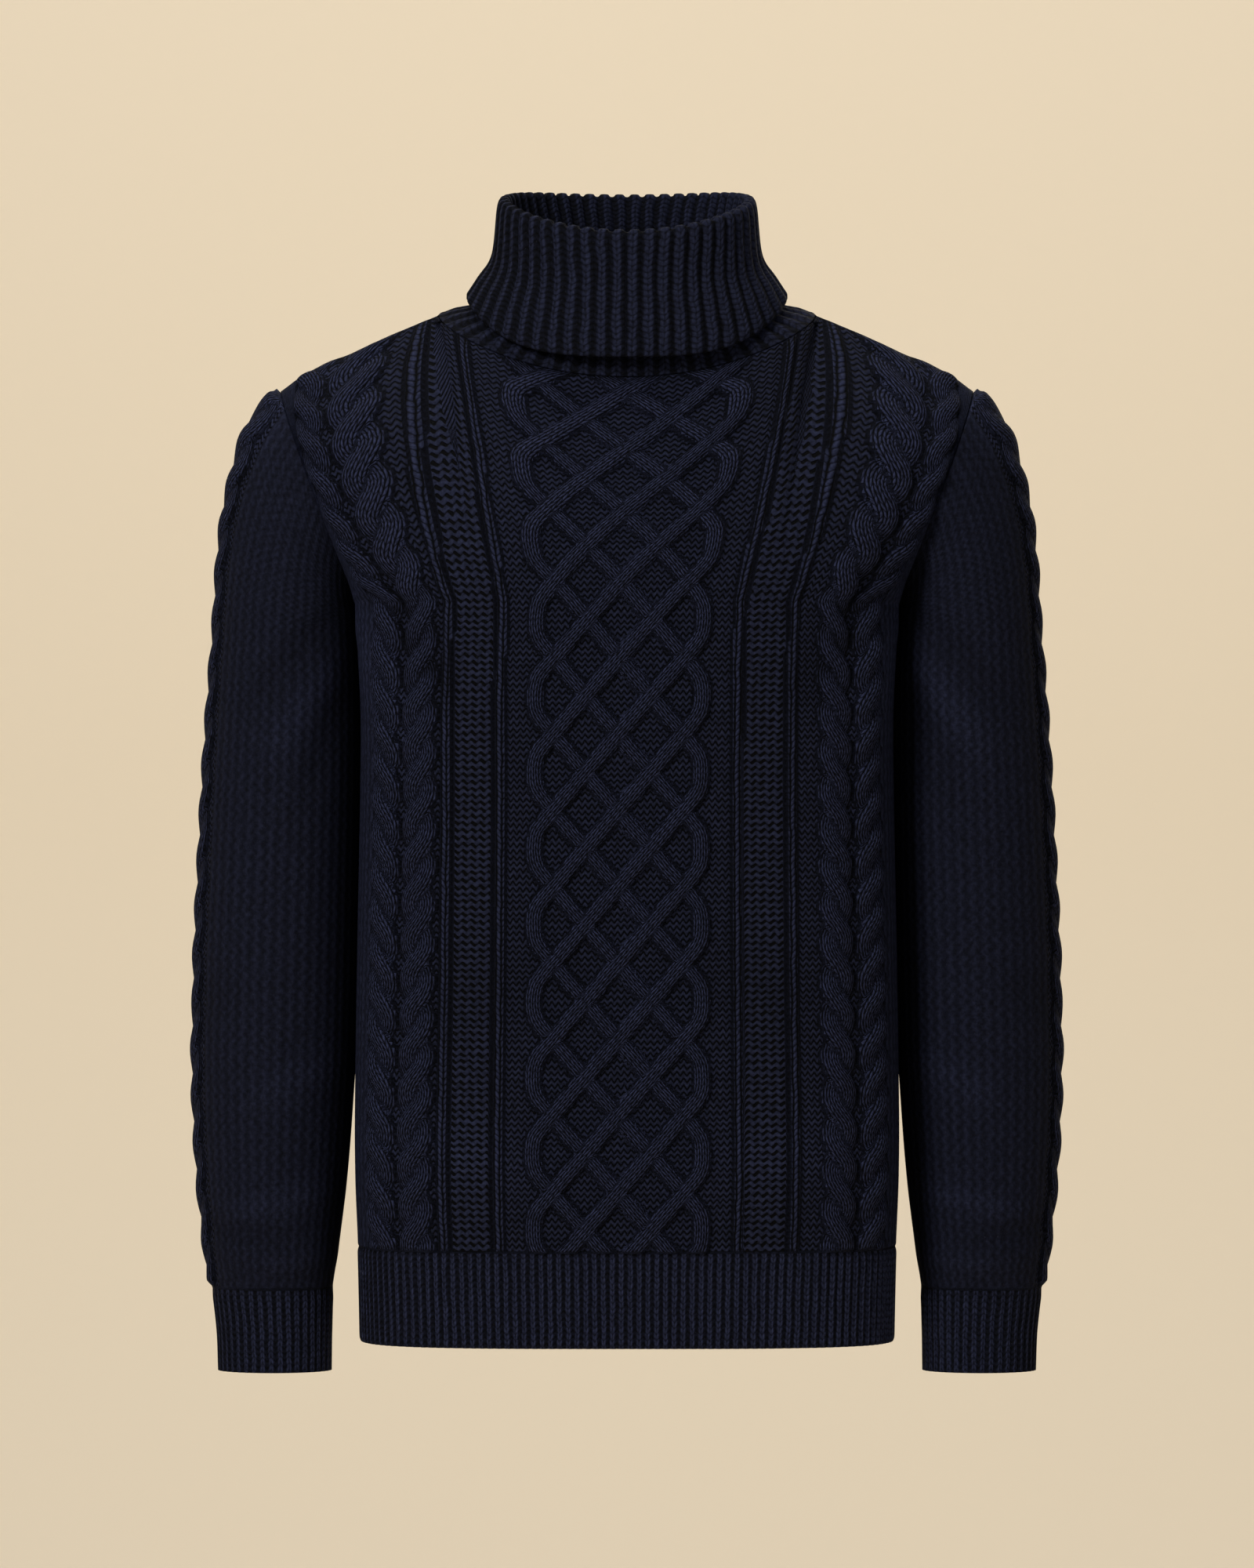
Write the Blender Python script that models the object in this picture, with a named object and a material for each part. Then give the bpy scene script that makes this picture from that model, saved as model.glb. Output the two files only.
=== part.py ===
# A filled-out cable-knit roll-neck sweater, held up as if worn, sleeves hanging.
# Five knitted pieces, each a closed wall: front, back, two sleeves and the collar.
# The pieces are worked out in millimetres and become metres when a mesh is made.
# +Z is up, the front faces -Y, the origin is the base of the neck between the shoulders.

import math

import bpy
import numpy as np

MM = 0.001

# ---- driving sizes, mm ----
WALL = 3.0              # thickness of the plain knitted wall
SEAM_GAP = 0.4          # space left between two pieces at a side or shoulder seam
ARMHOLE_GAP = 0.7       # space between a body panel and a sleeve
NECK_GAP = 0.6          # space between a body panel and the collar

HEM_BOTTOM_Z = -689.5   # lower edge of the hem rib
HEM_TOP_Z = -628.0      # where the hem rib ends and the cables begin
HEM_RIBS = 42           # ribs of the hem across one panel
HEM_RIB_HEIGHT = 2.2

FIRST_CROSS_Z = -611.5  # lowest row of crossings of the lattice
HALF_ROW = 12.55        # half the distance between two rows of crossings
ARMPIT_ROW = 33         # half row at which the armholes start
TOP_ROW = 47            # half row at which the neckline and shoulders lie
BOTTOM_ROW = -1         # lowest half row of the cabled panel

SIDE_WALE = 252.0       # distance round the panel from its middle to the side seam
LATTICE_STEP = 10.95    # half the distance between two columns of crossings
LATTICE_HALF_STEPS = 5  # half steps from the middle of the lattice to its edge

ROPE_HEIGHT = 4.2       # a rope of the lattice that passes over
ROPE_UNDER_HEIGHT = 3.0
CABLE_HEIGHT = 5.0      # crossing of a cable
CABLE_STRAND_HEIGHT = 3.6
CABLE_MIDDLE_HEIGHT = 1.6
RIDGE_HEIGHT = 1.8

NECK_HALF_WIDTH = 127.0
NECK_HALF_DEPTH = 78.0
NECK_CENTRE_Y = 10.0
NECK_FRONT_Z = -48.7
NECK_SIDE_Z = -3.0
NECK_BACK_Z = -6.0
SHOULDER_TIP = (233.0, 10.0, -54.0)
SHOULDER_BOW = 2.5      # how far the shoulder seam arches over a straight line

SLEEVE_TOP_Z = -215.0   # first level ring of a sleeve, below the armpit
SLEEVE_END_Z = -649.5   # last ring above the cuff
CUFF_TOP_Z = -655.0
CUFF_BOTTOM_Z = -710.5
CUFF_RIBS = 20
CUFF_RIB_HEIGHT = 1.8
SLEEVE_CABLE_AT = 0.03  # place of the sleeve's cable round the sleeve, forward of its outer line
SLEEVE_CABLE_STEP = 0.02
SLEEVE_PLAIN_COLUMNS = 11
SLEEVE_CAP_ROWS = 9
SLEEVE_HALF_ROW = 16.0

COLLAR_RIBS = 50
COLLAR_RIB_HEIGHT = 1.6

# ---- level sections of the body, from the hem to the armpit ----
BODY_COLUMNS = ("z", "half_width", "front", "back", "power")
BODY_SECTIONS = (
    (-700.0, 177.2, 102.0, 103.0, 3.4),
    (-628.0, 178.8, 106.0, 106.5, 3.4),
    (-581.0, 180.6, 108.0, 105.0, 3.4),
    (-528.0, 180.8, 107.0, 101.0, 3.4),
    (-423.0, 179.3, 106.5, 97.0, 3.3),
    (-318.0, 177.4, 109.5, 102.0, 3.1),
    (-265.0, 177.2, 112.0, 107.0, 3.0),
    (-190.0, 180.0, 112.5, 112.0, 2.8),
)

# ---- how each wale of the front and back runs from the armpit row to the top edge ----
# top_x is where the wale ends on the neckline or shoulder, up_* and end_* are its
# directions at its two ends, times the length of the run.
YOKE_COLUMNS = ("wale", "top_x", "up_x", "up_y", "up_z", "end_x", "end_y", "end_z")
FRONT_YOKE = (
    (0.0, 0.0, 0.0, 0.0, 175.7, 0.0, 78.0, 141.0),
    (40.0, 55.0, 8.0, 0.0, 175.7, 14.0, 82.0, 143.0),
    (80.0, 110.0, 14.0, 0.0, 175.7, 34.0, 105.0, 140.0),
    (104.0, 127.0, 15.5, 0.0, 175.7, 32.0, 128.0, 120.0),
    (117.0, 136.0, 16.0, 0.0, 175.7, 30.0, 140.0, 105.0),
    (145.0, 172.0, 16.0, -6.0, 170.0, 30.0, 165.0, 85.0),
    (180.0, 207.0, 22.0, -30.0, 160.0, 30.0, 185.0, 75.0),
    (252.0, 233.0, 40.0, -200.0, 100.0, 15.0, 205.0, 60.0),
)
BACK_YOKE = (
    (0.0, 0.0, 0.0, 6.0, 185.0, 0.0, -45.0, 185.0),
    (40.0, 55.0, 8.0, 6.0, 185.0, 14.0, -50.0, 180.0),
    (80.0, 110.0, 14.0, 6.0, 185.0, 34.0, -85.0, 160.0),
    (104.0, 127.0, 15.5, 7.0, 185.0, 32.0, -118.0, 130.0),
    (117.0, 136.0, 16.0, 8.0, 185.0, 30.0, -140.0, 110.0),
    (145.0, 172.0, 16.0, 14.0, 180.0, 30.0, -165.0, 85.0),
    (180.0, 207.0, 22.0, 40.0, 165.0, 30.0, -185.0, 75.0),
    (252.0, 233.0, 40.0, 205.0, 100.0, 15.0, -205.0, 60.0),
)

# ---- where a wale of the knit lies across the yoke ----
# Above the armpits the armholes cut the side wales away, so that the cables run along
# the sleeves: pull is where a wale is drawn to half way up, top where it ends.
SPREAD_WALES = (0.0, 55.0, 80.0, 115.5, 143.0, 173.0, 187.0, 252.0)
SPREAD_PULL = (0.0, 59.0, 92.0, 140.7, 195.5, 280.0, 296.0, 252.0)
SPREAD_TOP = (0.0, 55.0, 80.0, 115.5, 143.0, 182.0, 212.0, 252.0)

# ---- level sections of a sleeve; x values are for the wearer's left ----
SLEEVE_COLUMNS = ("z", "outer_x", "inner_x", "centre_y", "half_depth")
SLEEVE_SECTIONS = (
    (-215.0, 276.3, 179.8, 10.0, 57.5),
    (-265.0, 280.3, 178.1, 12.0, 57.5),
    (-318.0, 283.7, 178.3, 12.0, 57.0),
    (-371.0, 286.3, 179.2, 12.0, 57.0),
    (-423.0, 288.7, 180.2, 12.0, 57.0),
    (-476.0, 290.2, 181.4, 11.0, 56.0),
    (-528.0, 289.8, 184.0, 9.0, 54.0),
    (-581.0, 286.8, 188.0, 5.0, 50.0),
    (-630.0, 281.8, 193.8, 0.0, 44.0),
    (-655.0, 278.0, 197.5, -3.0, 35.0),
    (-684.0, 274.4, 198.6, -6.0, 31.0),
    (-710.5, 273.2, 198.9, -8.0, 31.0),
)

# ---- rings of the collar ----
# half_width, half_depth and centre_y give a ring's outline from above; its height runs
# through front_z, side_z and back_z and sags between the front and the sides; spread
# gathers the ribs to the front and back.
COLLAR_COLUMNS = (
    "half_width", "half_depth", "centre_y", "front_z", "side_z", "back_z", "spread", "sag",
)
COLLAR_SEEN = (
    (107.6, 88.6, 7.0, -36.0, 8.5, 4.5, 0.11, 6.5),
    (99.5, 83.5, 6.0, -12.0, 20.7, 27.0, 0.085, 4.5),
    (89.4, 75.5, 5.0, 16.0, 37.0, 51.0, 0.05, 2.0),
    (85.6, 71.0, 4.0, 43.0, 69.0, 77.0, 0.0, 0.0),
    (82.6, 67.6, 4.0, 47.5, 74.0, 81.5, 0.0, 0.0),
    (79.6, 64.6, 4.0, 43.5, 70.0, 77.5, 0.0, 0.0),
    (78.6, 64.2, 4.0, 12.0, 40.0, 54.0, 0.04, 0.0),
    (92.0, 68.5, 7.0, -20.0, 9.0, 17.0, 0.09, 0.0),
)
COLLAR_HIDDEN = (
    (104.0, 85.0, 7.0, -34.5, 9.0, 5.5, 0.11, 6.5),
    (97.2, 81.2, 6.0, -14.0, 18.7, 25.0, 0.09, 4.5),
    (88.0, 74.2, 5.0, 12.0, 33.8, 47.0, 0.06, 2.0),
    (83.8, 69.6, 4.5, 33.0, 60.0, 67.0, 0.03, 0.0),
    (82.9, 68.2, 4.0, 42.5, 69.0, 76.5, 0.0, 0.0),
    (81.9, 67.2, 4.0, 33.0, 59.0, 67.0, 0.0, 0.0),
    (81.8, 67.4, 4.0, 12.0, 39.0, 52.0, 0.04, 0.0),
    (93.5, 71.0, 7.0, -17.5, 10.0, 18.0, 0.09, 0.0),
)
COLLAR_STAND_FOOT = (104.0, 74.5, 9.0, -31.0, 1.5, 4.5, 0.12, 0.0)
NECK_SPREAD = 0.165

HIDDEN_COLUMNS = 30     # columns of a plain hidden face round the collar
INNER_WALES = (0.0, 40.0, 80.0, 117.0, 150.0, 185.0, 218.0, 252.0)
INNER_ROWS_BELOW = (3, 7, 11, 15, 19, 23, 27, 30)
INNER_SLEEVE_COLUMNS = 10

NAVY = (0.010, 0.011, 0.021, 1.0)


# ---- small helpers ----
def row_values(columns, row):
    return dict(zip(columns, row))


def read_table(rows, at):
    """Smooth reading of a table whose first column is the place."""
    places = [row[0] for row in rows]
    rising = places[0] < places[-1]
    if not rising:
        rows = rows[::-1]
        places = places[::-1]
    at = min(max(at, places[0]), places[-1])
    k = 0
    while k < len(places) - 2 and at > places[k + 1]:
        k += 1
    before = np.array(rows[max(k - 1, 0)])
    start = np.array(rows[k])
    end = np.array(rows[k + 1])
    after = np.array(rows[min(k + 2, len(rows) - 1)])
    span = end[0] - start[0]
    t = (at - start[0]) / span
    slope_start = (end - before) / (end[0] - before[0]) * span
    slope_end = (after - start) / (after[0] - start[0]) * span
    return hermite(start, end, slope_start, slope_end, t)


def hermite(start, end, slope_start, slope_end, t):
    a = 2 * t**3 - 3 * t**2 + 1
    b = t**3 - 2 * t**2 + t
    c = -2 * t**3 + 3 * t**2
    d = t**3 - t**2
    return a * start + b * slope_start + c * end + d * slope_end


def unit(v):
    return v / max(np.linalg.norm(v), 1e-9)


# ---- body surface ----
QUARTER_STEPS = 240


def quarter_outline(half_width, depth, power):
    """Points of a quarter of the section, from the middle to the side, with their run."""
    angle = np.linspace(0.0, math.pi / 2, QUARTER_STEPS)
    x = half_width * np.sin(angle) ** (2 / power)
    y = depth * np.cos(angle) ** (2 / power)
    run = np.concatenate(([0.0], np.cumsum(np.hypot(np.diff(x), np.diff(y)))))
    return x, y, run


def body_point(side, wale, z):
    """side is -1 for the front and 1 for the back."""
    section = row_values(BODY_COLUMNS, read_table(BODY_SECTIONS, z))
    depth = section["front"] if side < 0 else section["back"]
    x, y, run = quarter_outline(section["half_width"], depth, section["power"])
    at = abs(wale) / SIDE_WALE * run[-1]
    px = float(np.interp(at, run, x))
    py = float(np.interp(at, run, y))
    return np.array((math.copysign(px, wale), side * py, z))


def neck_height(cosine):
    level = (NECK_FRONT_Z + NECK_BACK_Z) / 2 - NECK_SIDE_Z
    tilt = (NECK_FRONT_Z - NECK_BACK_Z) / 2
    return NECK_SIDE_Z + level * cosine**2 + tilt * cosine


def top_point(side, top_x):
    """The upper edge of a panel: half the neckline, then the shoulder seam."""
    x = abs(top_x)
    if x <= NECK_HALF_WIDTH:
        cosine = -side * math.sqrt(max(1 - (x / NECK_HALF_WIDTH) ** 2, 0.0))
        y = NECK_CENTRE_Y - NECK_HALF_DEPTH * cosine
        z = neck_height(cosine)
    else:
        along = (x - NECK_HALF_WIDTH) / (SHOULDER_TIP[0] - NECK_HALF_WIDTH)
        y = NECK_CENTRE_Y
        z = NECK_SIDE_Z + (SHOULDER_TIP[2] - NECK_SIDE_Z) * along
        z += SHOULDER_BOW * 4 * along * (1 - along)
    return np.array((top_x, y, z))


def neck_inward(sine, cosine):
    """From the outer to the inner edge of the wall at the neckline."""
    down = 0.9 * sine**2 + 0.45 * cosine**2
    return unit(np.array((-0.43 * sine, 0.9 * cosine, -down)))


def neck_away(sine, cosine):
    """From the panels' cut edge towards the collar."""
    up = 0.43 * sine**2 + 0.9 * cosine**2
    return unit(np.array((-0.9 * sine, 0.35 * cosine, up)))


def spread_wale(wale, t):
    """Place across the yoke, in wales of the armpit row, of a wale at t of its run."""
    pull = np.interp(wale, SPREAD_WALES, SPREAD_PULL)
    top = np.interp(wale, SPREAD_WALES, SPREAD_TOP)
    return float((1 - t) ** 2 * wale + 2 * t * (1 - t) * pull + t**2 * top)


def panel_point(side, wale, row):
    """Plain surface of the front or back at a wale and a half row."""
    if row <= ARMPIT_ROW:
        return body_point(side, wale, FIRST_CROSS_Z + HALF_ROW * row)
    table = FRONT_YOKE if side < 0 else BACK_YOKE
    t = (row - ARMPIT_ROW) / (TOP_ROW - ARMPIT_ROW)
    place = spread_wale(abs(wale), t)
    run = row_values(YOKE_COLUMNS, read_table(table, place))
    low = body_point(side, place, FIRST_CROSS_Z + HALF_ROW * ARMPIT_ROW)
    high = top_point(side, max(run["top_x"], 0.0))
    up = np.array((run["up_x"], run["up_y"], run["up_z"]))
    end = np.array((run["end_x"], run["end_y"], run["end_z"]))
    point = hermite(low, high, up, end, t)
    if wale < 0:
        point[0] = -point[0]
    return point


def panel_normal(side, wale, row):
    dw = 1.5
    dr = 0.12
    w0 = max(wale - dw, -SIDE_WALE)
    w1 = min(wale + dw, SIDE_WALE)
    r1 = min(row + dr, TOP_ROW)
    across = panel_point(side, w1, row) - panel_point(side, w0, row)
    up = panel_point(side, wale, r1) - panel_point(side, wale, row - dr)
    return unit(np.cross(across, up)) * -side


def seam_inward(side, wale, row):
    """Direction from the outer to the inner edge of the wall along the panel's seams."""
    sign = math.copysign(1.0, wale)
    if row <= ARMPIT_ROW:
        if row < ARMPIT_ROW:
            return np.array((-sign, 0.0, 0.0))
        return np.array((0.0, 0.0, 1.0))
    return armhole_inward(side, sign, (row - ARMPIT_ROW) / (TOP_ROW - ARMPIT_ROW))


def armhole_inward(side, sign, t):
    under = np.array((0.0, 0.0, 1.0))
    middle = np.array((0.0, -side * 1.2, 0.0))
    tip = np.array((-0.43 * sign, 0.0, -0.9))
    return unit((1 - t) ** 2 * under + 2 * t * (1 - t) * middle + t**2 * tip)


# ---- relief of the front and back ----
def lattice_height(i, j):
    """Ropes cross on a diamond grid; the ones rising to +X pass over."""
    edge = abs(i) == LATTICE_HALF_STEPS
    over = (i - j) % 4 == 2
    under = (i + j) % 4 == 2
    if edge:
        return ROPE_HEIGHT * 0.9 if j % 4 != 2 else 0.0
    if over:
        return ROPE_HEIGHT
    return ROPE_UNDER_HEIGHT if under else 0.0


def cable_height(place, j):
    """place runs from -2 at one edge of a cable to 2 at the other."""
    crossing = j % 2 == 0
    if abs(place) == 2:
        return 0.0
    if place == 0:
        return CABLE_HEIGHT if crossing else CABLE_MIDDLE_HEIGHT
    return CABLE_STRAND_HEIGHT * 0.7 if crossing else CABLE_STRAND_HEIGHT


# wale, kind and place of each column right of the middle, in order
CABLE_STEP = 7.0
INNER_CABLE_AT = 143.0
OUTER_CABLE_AT = 173.0


def half_columns():
    columns = []
    for i in range(1, LATTICE_HALF_STEPS + 1):
        columns.append((LATTICE_STEP * i, "lattice", i))
    columns.append((65.5, "ground", 0))
    columns.append((76.5, "ground", 0))
    columns.append((80.0, "ridge", 0))
    columns.append((83.5, "net", 0))
    columns.append((104.0, "net", 0))
    columns.append((112.0, "net", 0))
    columns.append((115.5, "ridge", 0))
    for place in (-2, -1, 0, 1, 2):
        columns.append((INNER_CABLE_AT + CABLE_STEP * place, "inner", place))
    for place in (-1, 0, 1, 2):
        columns.append((OUTER_CABLE_AT + CABLE_STEP * place, "outer", place))
    columns.append((220.0, "ground", 0))
    columns.append((SIDE_WALE, "seam", 0))
    return columns


def panel_columns():
    half = half_columns()
    left = [(-w, kind, -place) for w, kind, place in half[::-1]]
    return left + [(0.0, "lattice", 0)] + half


def column_height(kind, place, j):
    if kind == "lattice":
        return lattice_height(place, j)
    if kind in ("inner", "outer"):
        return cable_height(place, j)
    if kind == "ridge":
        return RIDGE_HEIGHT
    if kind == "net":
        return -0.6
    return 0.0


# ---- mesh making ----
class Wall:
    """Collects the points and triangles of one closed wall."""

    def __init__(self):
        self.points = []
        self.faces = []

    def row(self, points):
        start = len(self.points)
        self.points.extend(points)
        return list(range(start, start + len(points)))

    def zip_rows(self, low, high, low_at, high_at, flip=False):
        """Triangles between two rows of any counts, led by their places along the row."""
        i = 0
        j = 0
        while i < len(low) - 1 or j < len(high) - 1:
            if j == len(high) - 1:
                step_low = True
            elif i == len(low) - 1:
                step_low = False
            else:
                step_low = low_at[i + 1] + low_at[i] <= high_at[j + 1] + high_at[j]
            if step_low:
                face = (low[i], low[i + 1], high[j])
                i += 1
            else:
                face = (low[i], high[j + 1], high[j])
                j += 1
            self.faces.append(face[::-1] if flip else face)

    def quad_rows(self, low, high, rising, flip=False):
        """Two triangles a cell; rising(k) says that cell k's diagonal rises with the row."""
        for k in range(len(low) - 1):
            a, b, c, d = low[k], low[k + 1], high[k + 1], high[k]
            pair = ((a, b, c), (a, c, d)) if rising(k) else ((a, b, d), (b, c, d))
            for face in pair:
                self.faces.append(face[::-1] if flip else face)

    def make(self, name, colour):
        points = [tuple(float(v) * MM for v in p) for p in self.points]
        faces = [f for f in self.faces if len(set(f)) == 3]
        mesh = bpy.data.meshes.new(name)
        mesh.from_pydata(points, [], faces)
        mesh.validate()
        thing = bpy.data.objects.new(name, mesh)
        bpy.context.scene.collection.objects.link(thing)
        material = bpy.data.materials.new(name + "_yarn")
        material.use_nodes = True
        shader = material.node_tree.nodes["Principled BSDF"]
        shader.inputs["Base Color"].default_value = colour
        shader.inputs["Roughness"].default_value = 0.9
        shader.inputs["Metallic"].default_value = 0.0
        mesh.materials.append(material)
        return thing


def closed(row):
    return row + row[:1]


# ---- front and back ----
def panel_outer(side, wale, row, height):
    point = panel_point(side, wale, row)
    return point + panel_normal(side, wale, row) * height


def seam_shift(side, wale, row):
    """Moves an edge point off its seam, so that two pieces do not touch."""
    shift = np.zeros(3)
    if row <= ARMPIT_ROW and abs(wale) == SIDE_WALE:
        shift[1] = side * SEAM_GAP / 2
    if row == TOP_ROW:
        shift[1] = side * SEAM_GAP / 2
    return shift


def top_inward(side, wale, sign):
    """Inward direction along the neckline and the shoulder seam."""
    if abs(wale) == SIDE_WALE:
        return armhole_inward(side, sign, 1.0)
    table = FRONT_YOKE if side < 0 else BACK_YOKE
    sine = min(read_table(table, abs(wale))[1] / NECK_HALF_WIDTH, 1.0)
    cosine = -side * math.sqrt(1 - sine**2)
    return neck_inward(sine * sign, cosine)


def panel_inner(side, wale, row):
    sign = math.copysign(1.0, wale)
    point = panel_point(side, wale, row)
    if row == TOP_ROW:
        inward = top_inward(side, wale, sign)
    elif abs(wale) == SIDE_WALE:
        inward = seam_inward(side, wale, row)
    else:
        inward = -panel_normal(side, wale, row)
    return point + inward * WALL + seam_shift(side, wale, row)


def make_panel(name, side):
    wall = Wall()
    flip = side > 0
    hem_wales = [SIDE_WALE * (k / HEM_RIBS - 1) for k in range(2 * HEM_RIBS + 1)]
    outer = []
    for z in (HEM_BOTTOM_Z, HEM_TOP_Z):
        row = (z - FIRST_CROSS_Z) / HALF_ROW
        points = []
        for k, wale in enumerate(hem_wales):
            height = HEM_RIB_HEIGHT if k % 2 else 0.0
            points.append(panel_outer(side, wale, row, height) + seam_shift(side, wale, row))
        outer.append((wall.row(points), hem_wales, None))
    columns = panel_columns()
    wales = [column[0] for column in columns]
    for j in range(BOTTOM_ROW, TOP_ROW + 1):
        heights = [column_height(kind, place, j) for _, kind, place in columns]
        if j in (TOP_ROW, BOTTOM_ROW):
            heights = [0.0] * len(columns)
        points = []
        for wale, height in zip(wales, heights):
            points.append(panel_outer(side, wale, j, height) + seam_shift(side, wale, j))
        outer.append((wall.row(points), wales, heights))
    for (low, low_at, low_h), (high, high_at, high_h) in zip(outer, outer[1:]):
        if len(low) != len(high):
            wall.zip_rows(low, high, low_at, high_at, flip)
            continue
        kinds = [column[1] for column in columns]

        def rising(k):
            if low_h is None:
                return True
            middle = (wales[k] + wales[k + 1]) / 2
            if kinds[k] in ("inner", "outer") and kinds[k + 1] in ("inner", "outer"):
                inner = abs(middle) < (INNER_CABLE_AT + OUTER_CABLE_AT) / 2
                return inner == (middle < 0)
            return low_h[k] + high_h[k + 1] >= low_h[k + 1] + high_h[k]

        wall.quad_rows(low, high, rising, flip)
    inner_wales = [-w for w in INNER_WALES[:0:-1]] + list(INNER_WALES)
    hem_row = (HEM_BOTTOM_Z - FIRST_CROSS_Z) / HALF_ROW
    inner_rows = [hem_row, BOTTOM_ROW] + list(INNER_ROWS_BELOW)
    inner_rows += list(range(ARMPIT_ROW, TOP_ROW))
    inner = []
    for row in inner_rows:
        points = [panel_inner(side, wale, row) for wale in inner_wales]
        inner.append((wall.row(points), inner_wales))
    points = [panel_inner(side, wale, TOP_ROW) for wale in wales]
    inner.append((wall.row(points), wales))
    for (low, low_at), (high, high_at) in zip(inner, inner[1:]):
        wall.zip_rows(low, high, low_at, high_at, not flip)
    wall.zip_rows(outer[0][0], inner[0][0], outer[0][1], inner[0][1], not flip)
    wall.zip_rows(outer[-1][0], inner[-1][0], outer[-1][1], inner[-1][1], flip)
    for end, turned in ((0, flip), (-1, not flip)):
        outer_edge = [row[0][end] for row in outer]
        inner_edge = [row[0][end] for row in inner]
        outer_at = [wall.points[p][2] for p in outer_edge]
        inner_at = [wall.points[p][2] for p in inner_edge]
        wall.zip_rows(outer_edge, inner_edge, outer_at, inner_at, turned)
    return wall.make(name, NAVY)


# ---- sleeves, worked out on the wearer's left and mirrored for the right ----
def sleeve_ring_point(turn, z):
    """turn runs once round: 0 is the outer line, 0.25 the front, 0.5 the body side."""
    section = row_values(SLEEVE_COLUMNS, read_table(SLEEVE_SECTIONS, z))
    centre = (section["outer_x"] + section["inner_x"]) / 2
    half = (section["outer_x"] - section["inner_x"]) / 2
    angle = 2 * math.pi * turn
    x = centre + half * math.cos(angle)
    y = section["centre_y"] - section["half_depth"] * math.sin(angle)
    return np.array((x, y, z))


def armhole_point(turn):
    """The armhole seam at the same turn, on the plain surface of the panels."""
    turn = turn % 1.0
    side = -1 if turn <= 0.5 else 1
    height = 1 - 2 * turn if turn <= 0.5 else 2 * turn - 1
    row = ARMPIT_ROW + (TOP_ROW - ARMPIT_ROW) * height
    point = panel_point(side, SIDE_WALE, row)
    return point + np.array((ARMHOLE_GAP, 0.0, 0.0)), side, height


CAP_LEAVE_TIP = np.array((0.72, 0.0, -0.70))
CAP_LEAVE_MIDDLE = np.array((0.35, 0.0, -0.94))
CAP_LEAVE_UNDER = np.array((0.15, 0.0, -1.0))
CAP_ARRIVE = np.array((0.06, 0.0, -1.0))


def cap_point(turn, t):
    """Between the armhole and the first level ring."""
    start, side, height = armhole_point(turn)
    end = sleeve_ring_point(turn, SLEEVE_TOP_Z)
    leave = (1 - height) ** 2 * CAP_LEAVE_UNDER + 2 * height * (1 - height) * CAP_LEAVE_MIDDLE
    leave = unit(leave + height**2 * CAP_LEAVE_TIP)
    length = np.linalg.norm(end - start) * 1.08
    return hermite(start, end, leave * length, CAP_ARRIVE * length, t)


def sleeve_point(turn, level):
    """level is 0 to 1 through the cap, then a height in mm below the first ring as 1 + mm."""
    if level <= 1.0:
        return cap_point(turn, max(level, 0.0))
    return sleeve_ring_point(turn, SLEEVE_TOP_Z - (level - 1.0))


def sleeve_normal(turn, level):
    dt = 0.006
    dl = 0.03 if level < 1.0 else 2.0
    across = sleeve_point(turn + dt, level) - sleeve_point(turn - dt, level)
    if level <= 1.0:
        below = sleeve_point(turn, level + dl) if level + dl <= 1.0 else sleeve_point(turn, 1.0 + 2.0)
        above = sleeve_point(turn, level - dl)
    else:
        below = sleeve_point(turn, level + dl)
        above = sleeve_point(turn, max(level - dl, 1.0))
    return unit(np.cross(across, below - above))


def sleeve_turns():
    """Columns round the sleeve: five for the cable, the rest evenly spread."""
    turns = [SLEEVE_CABLE_AT + SLEEVE_CABLE_STEP * place for place in (-2, -1, 0, 1, 2)]
    left = 1.0 - 4 * SLEEVE_CABLE_STEP
    step = left / (SLEEVE_PLAIN_COLUMNS + 1)
    turns += [turns[4] + step * (k + 1) for k in range(SLEEVE_PLAIN_COLUMNS)]
    return turns


def level_of(z):
    return 1.0 + (SLEEVE_TOP_Z - z)


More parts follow.
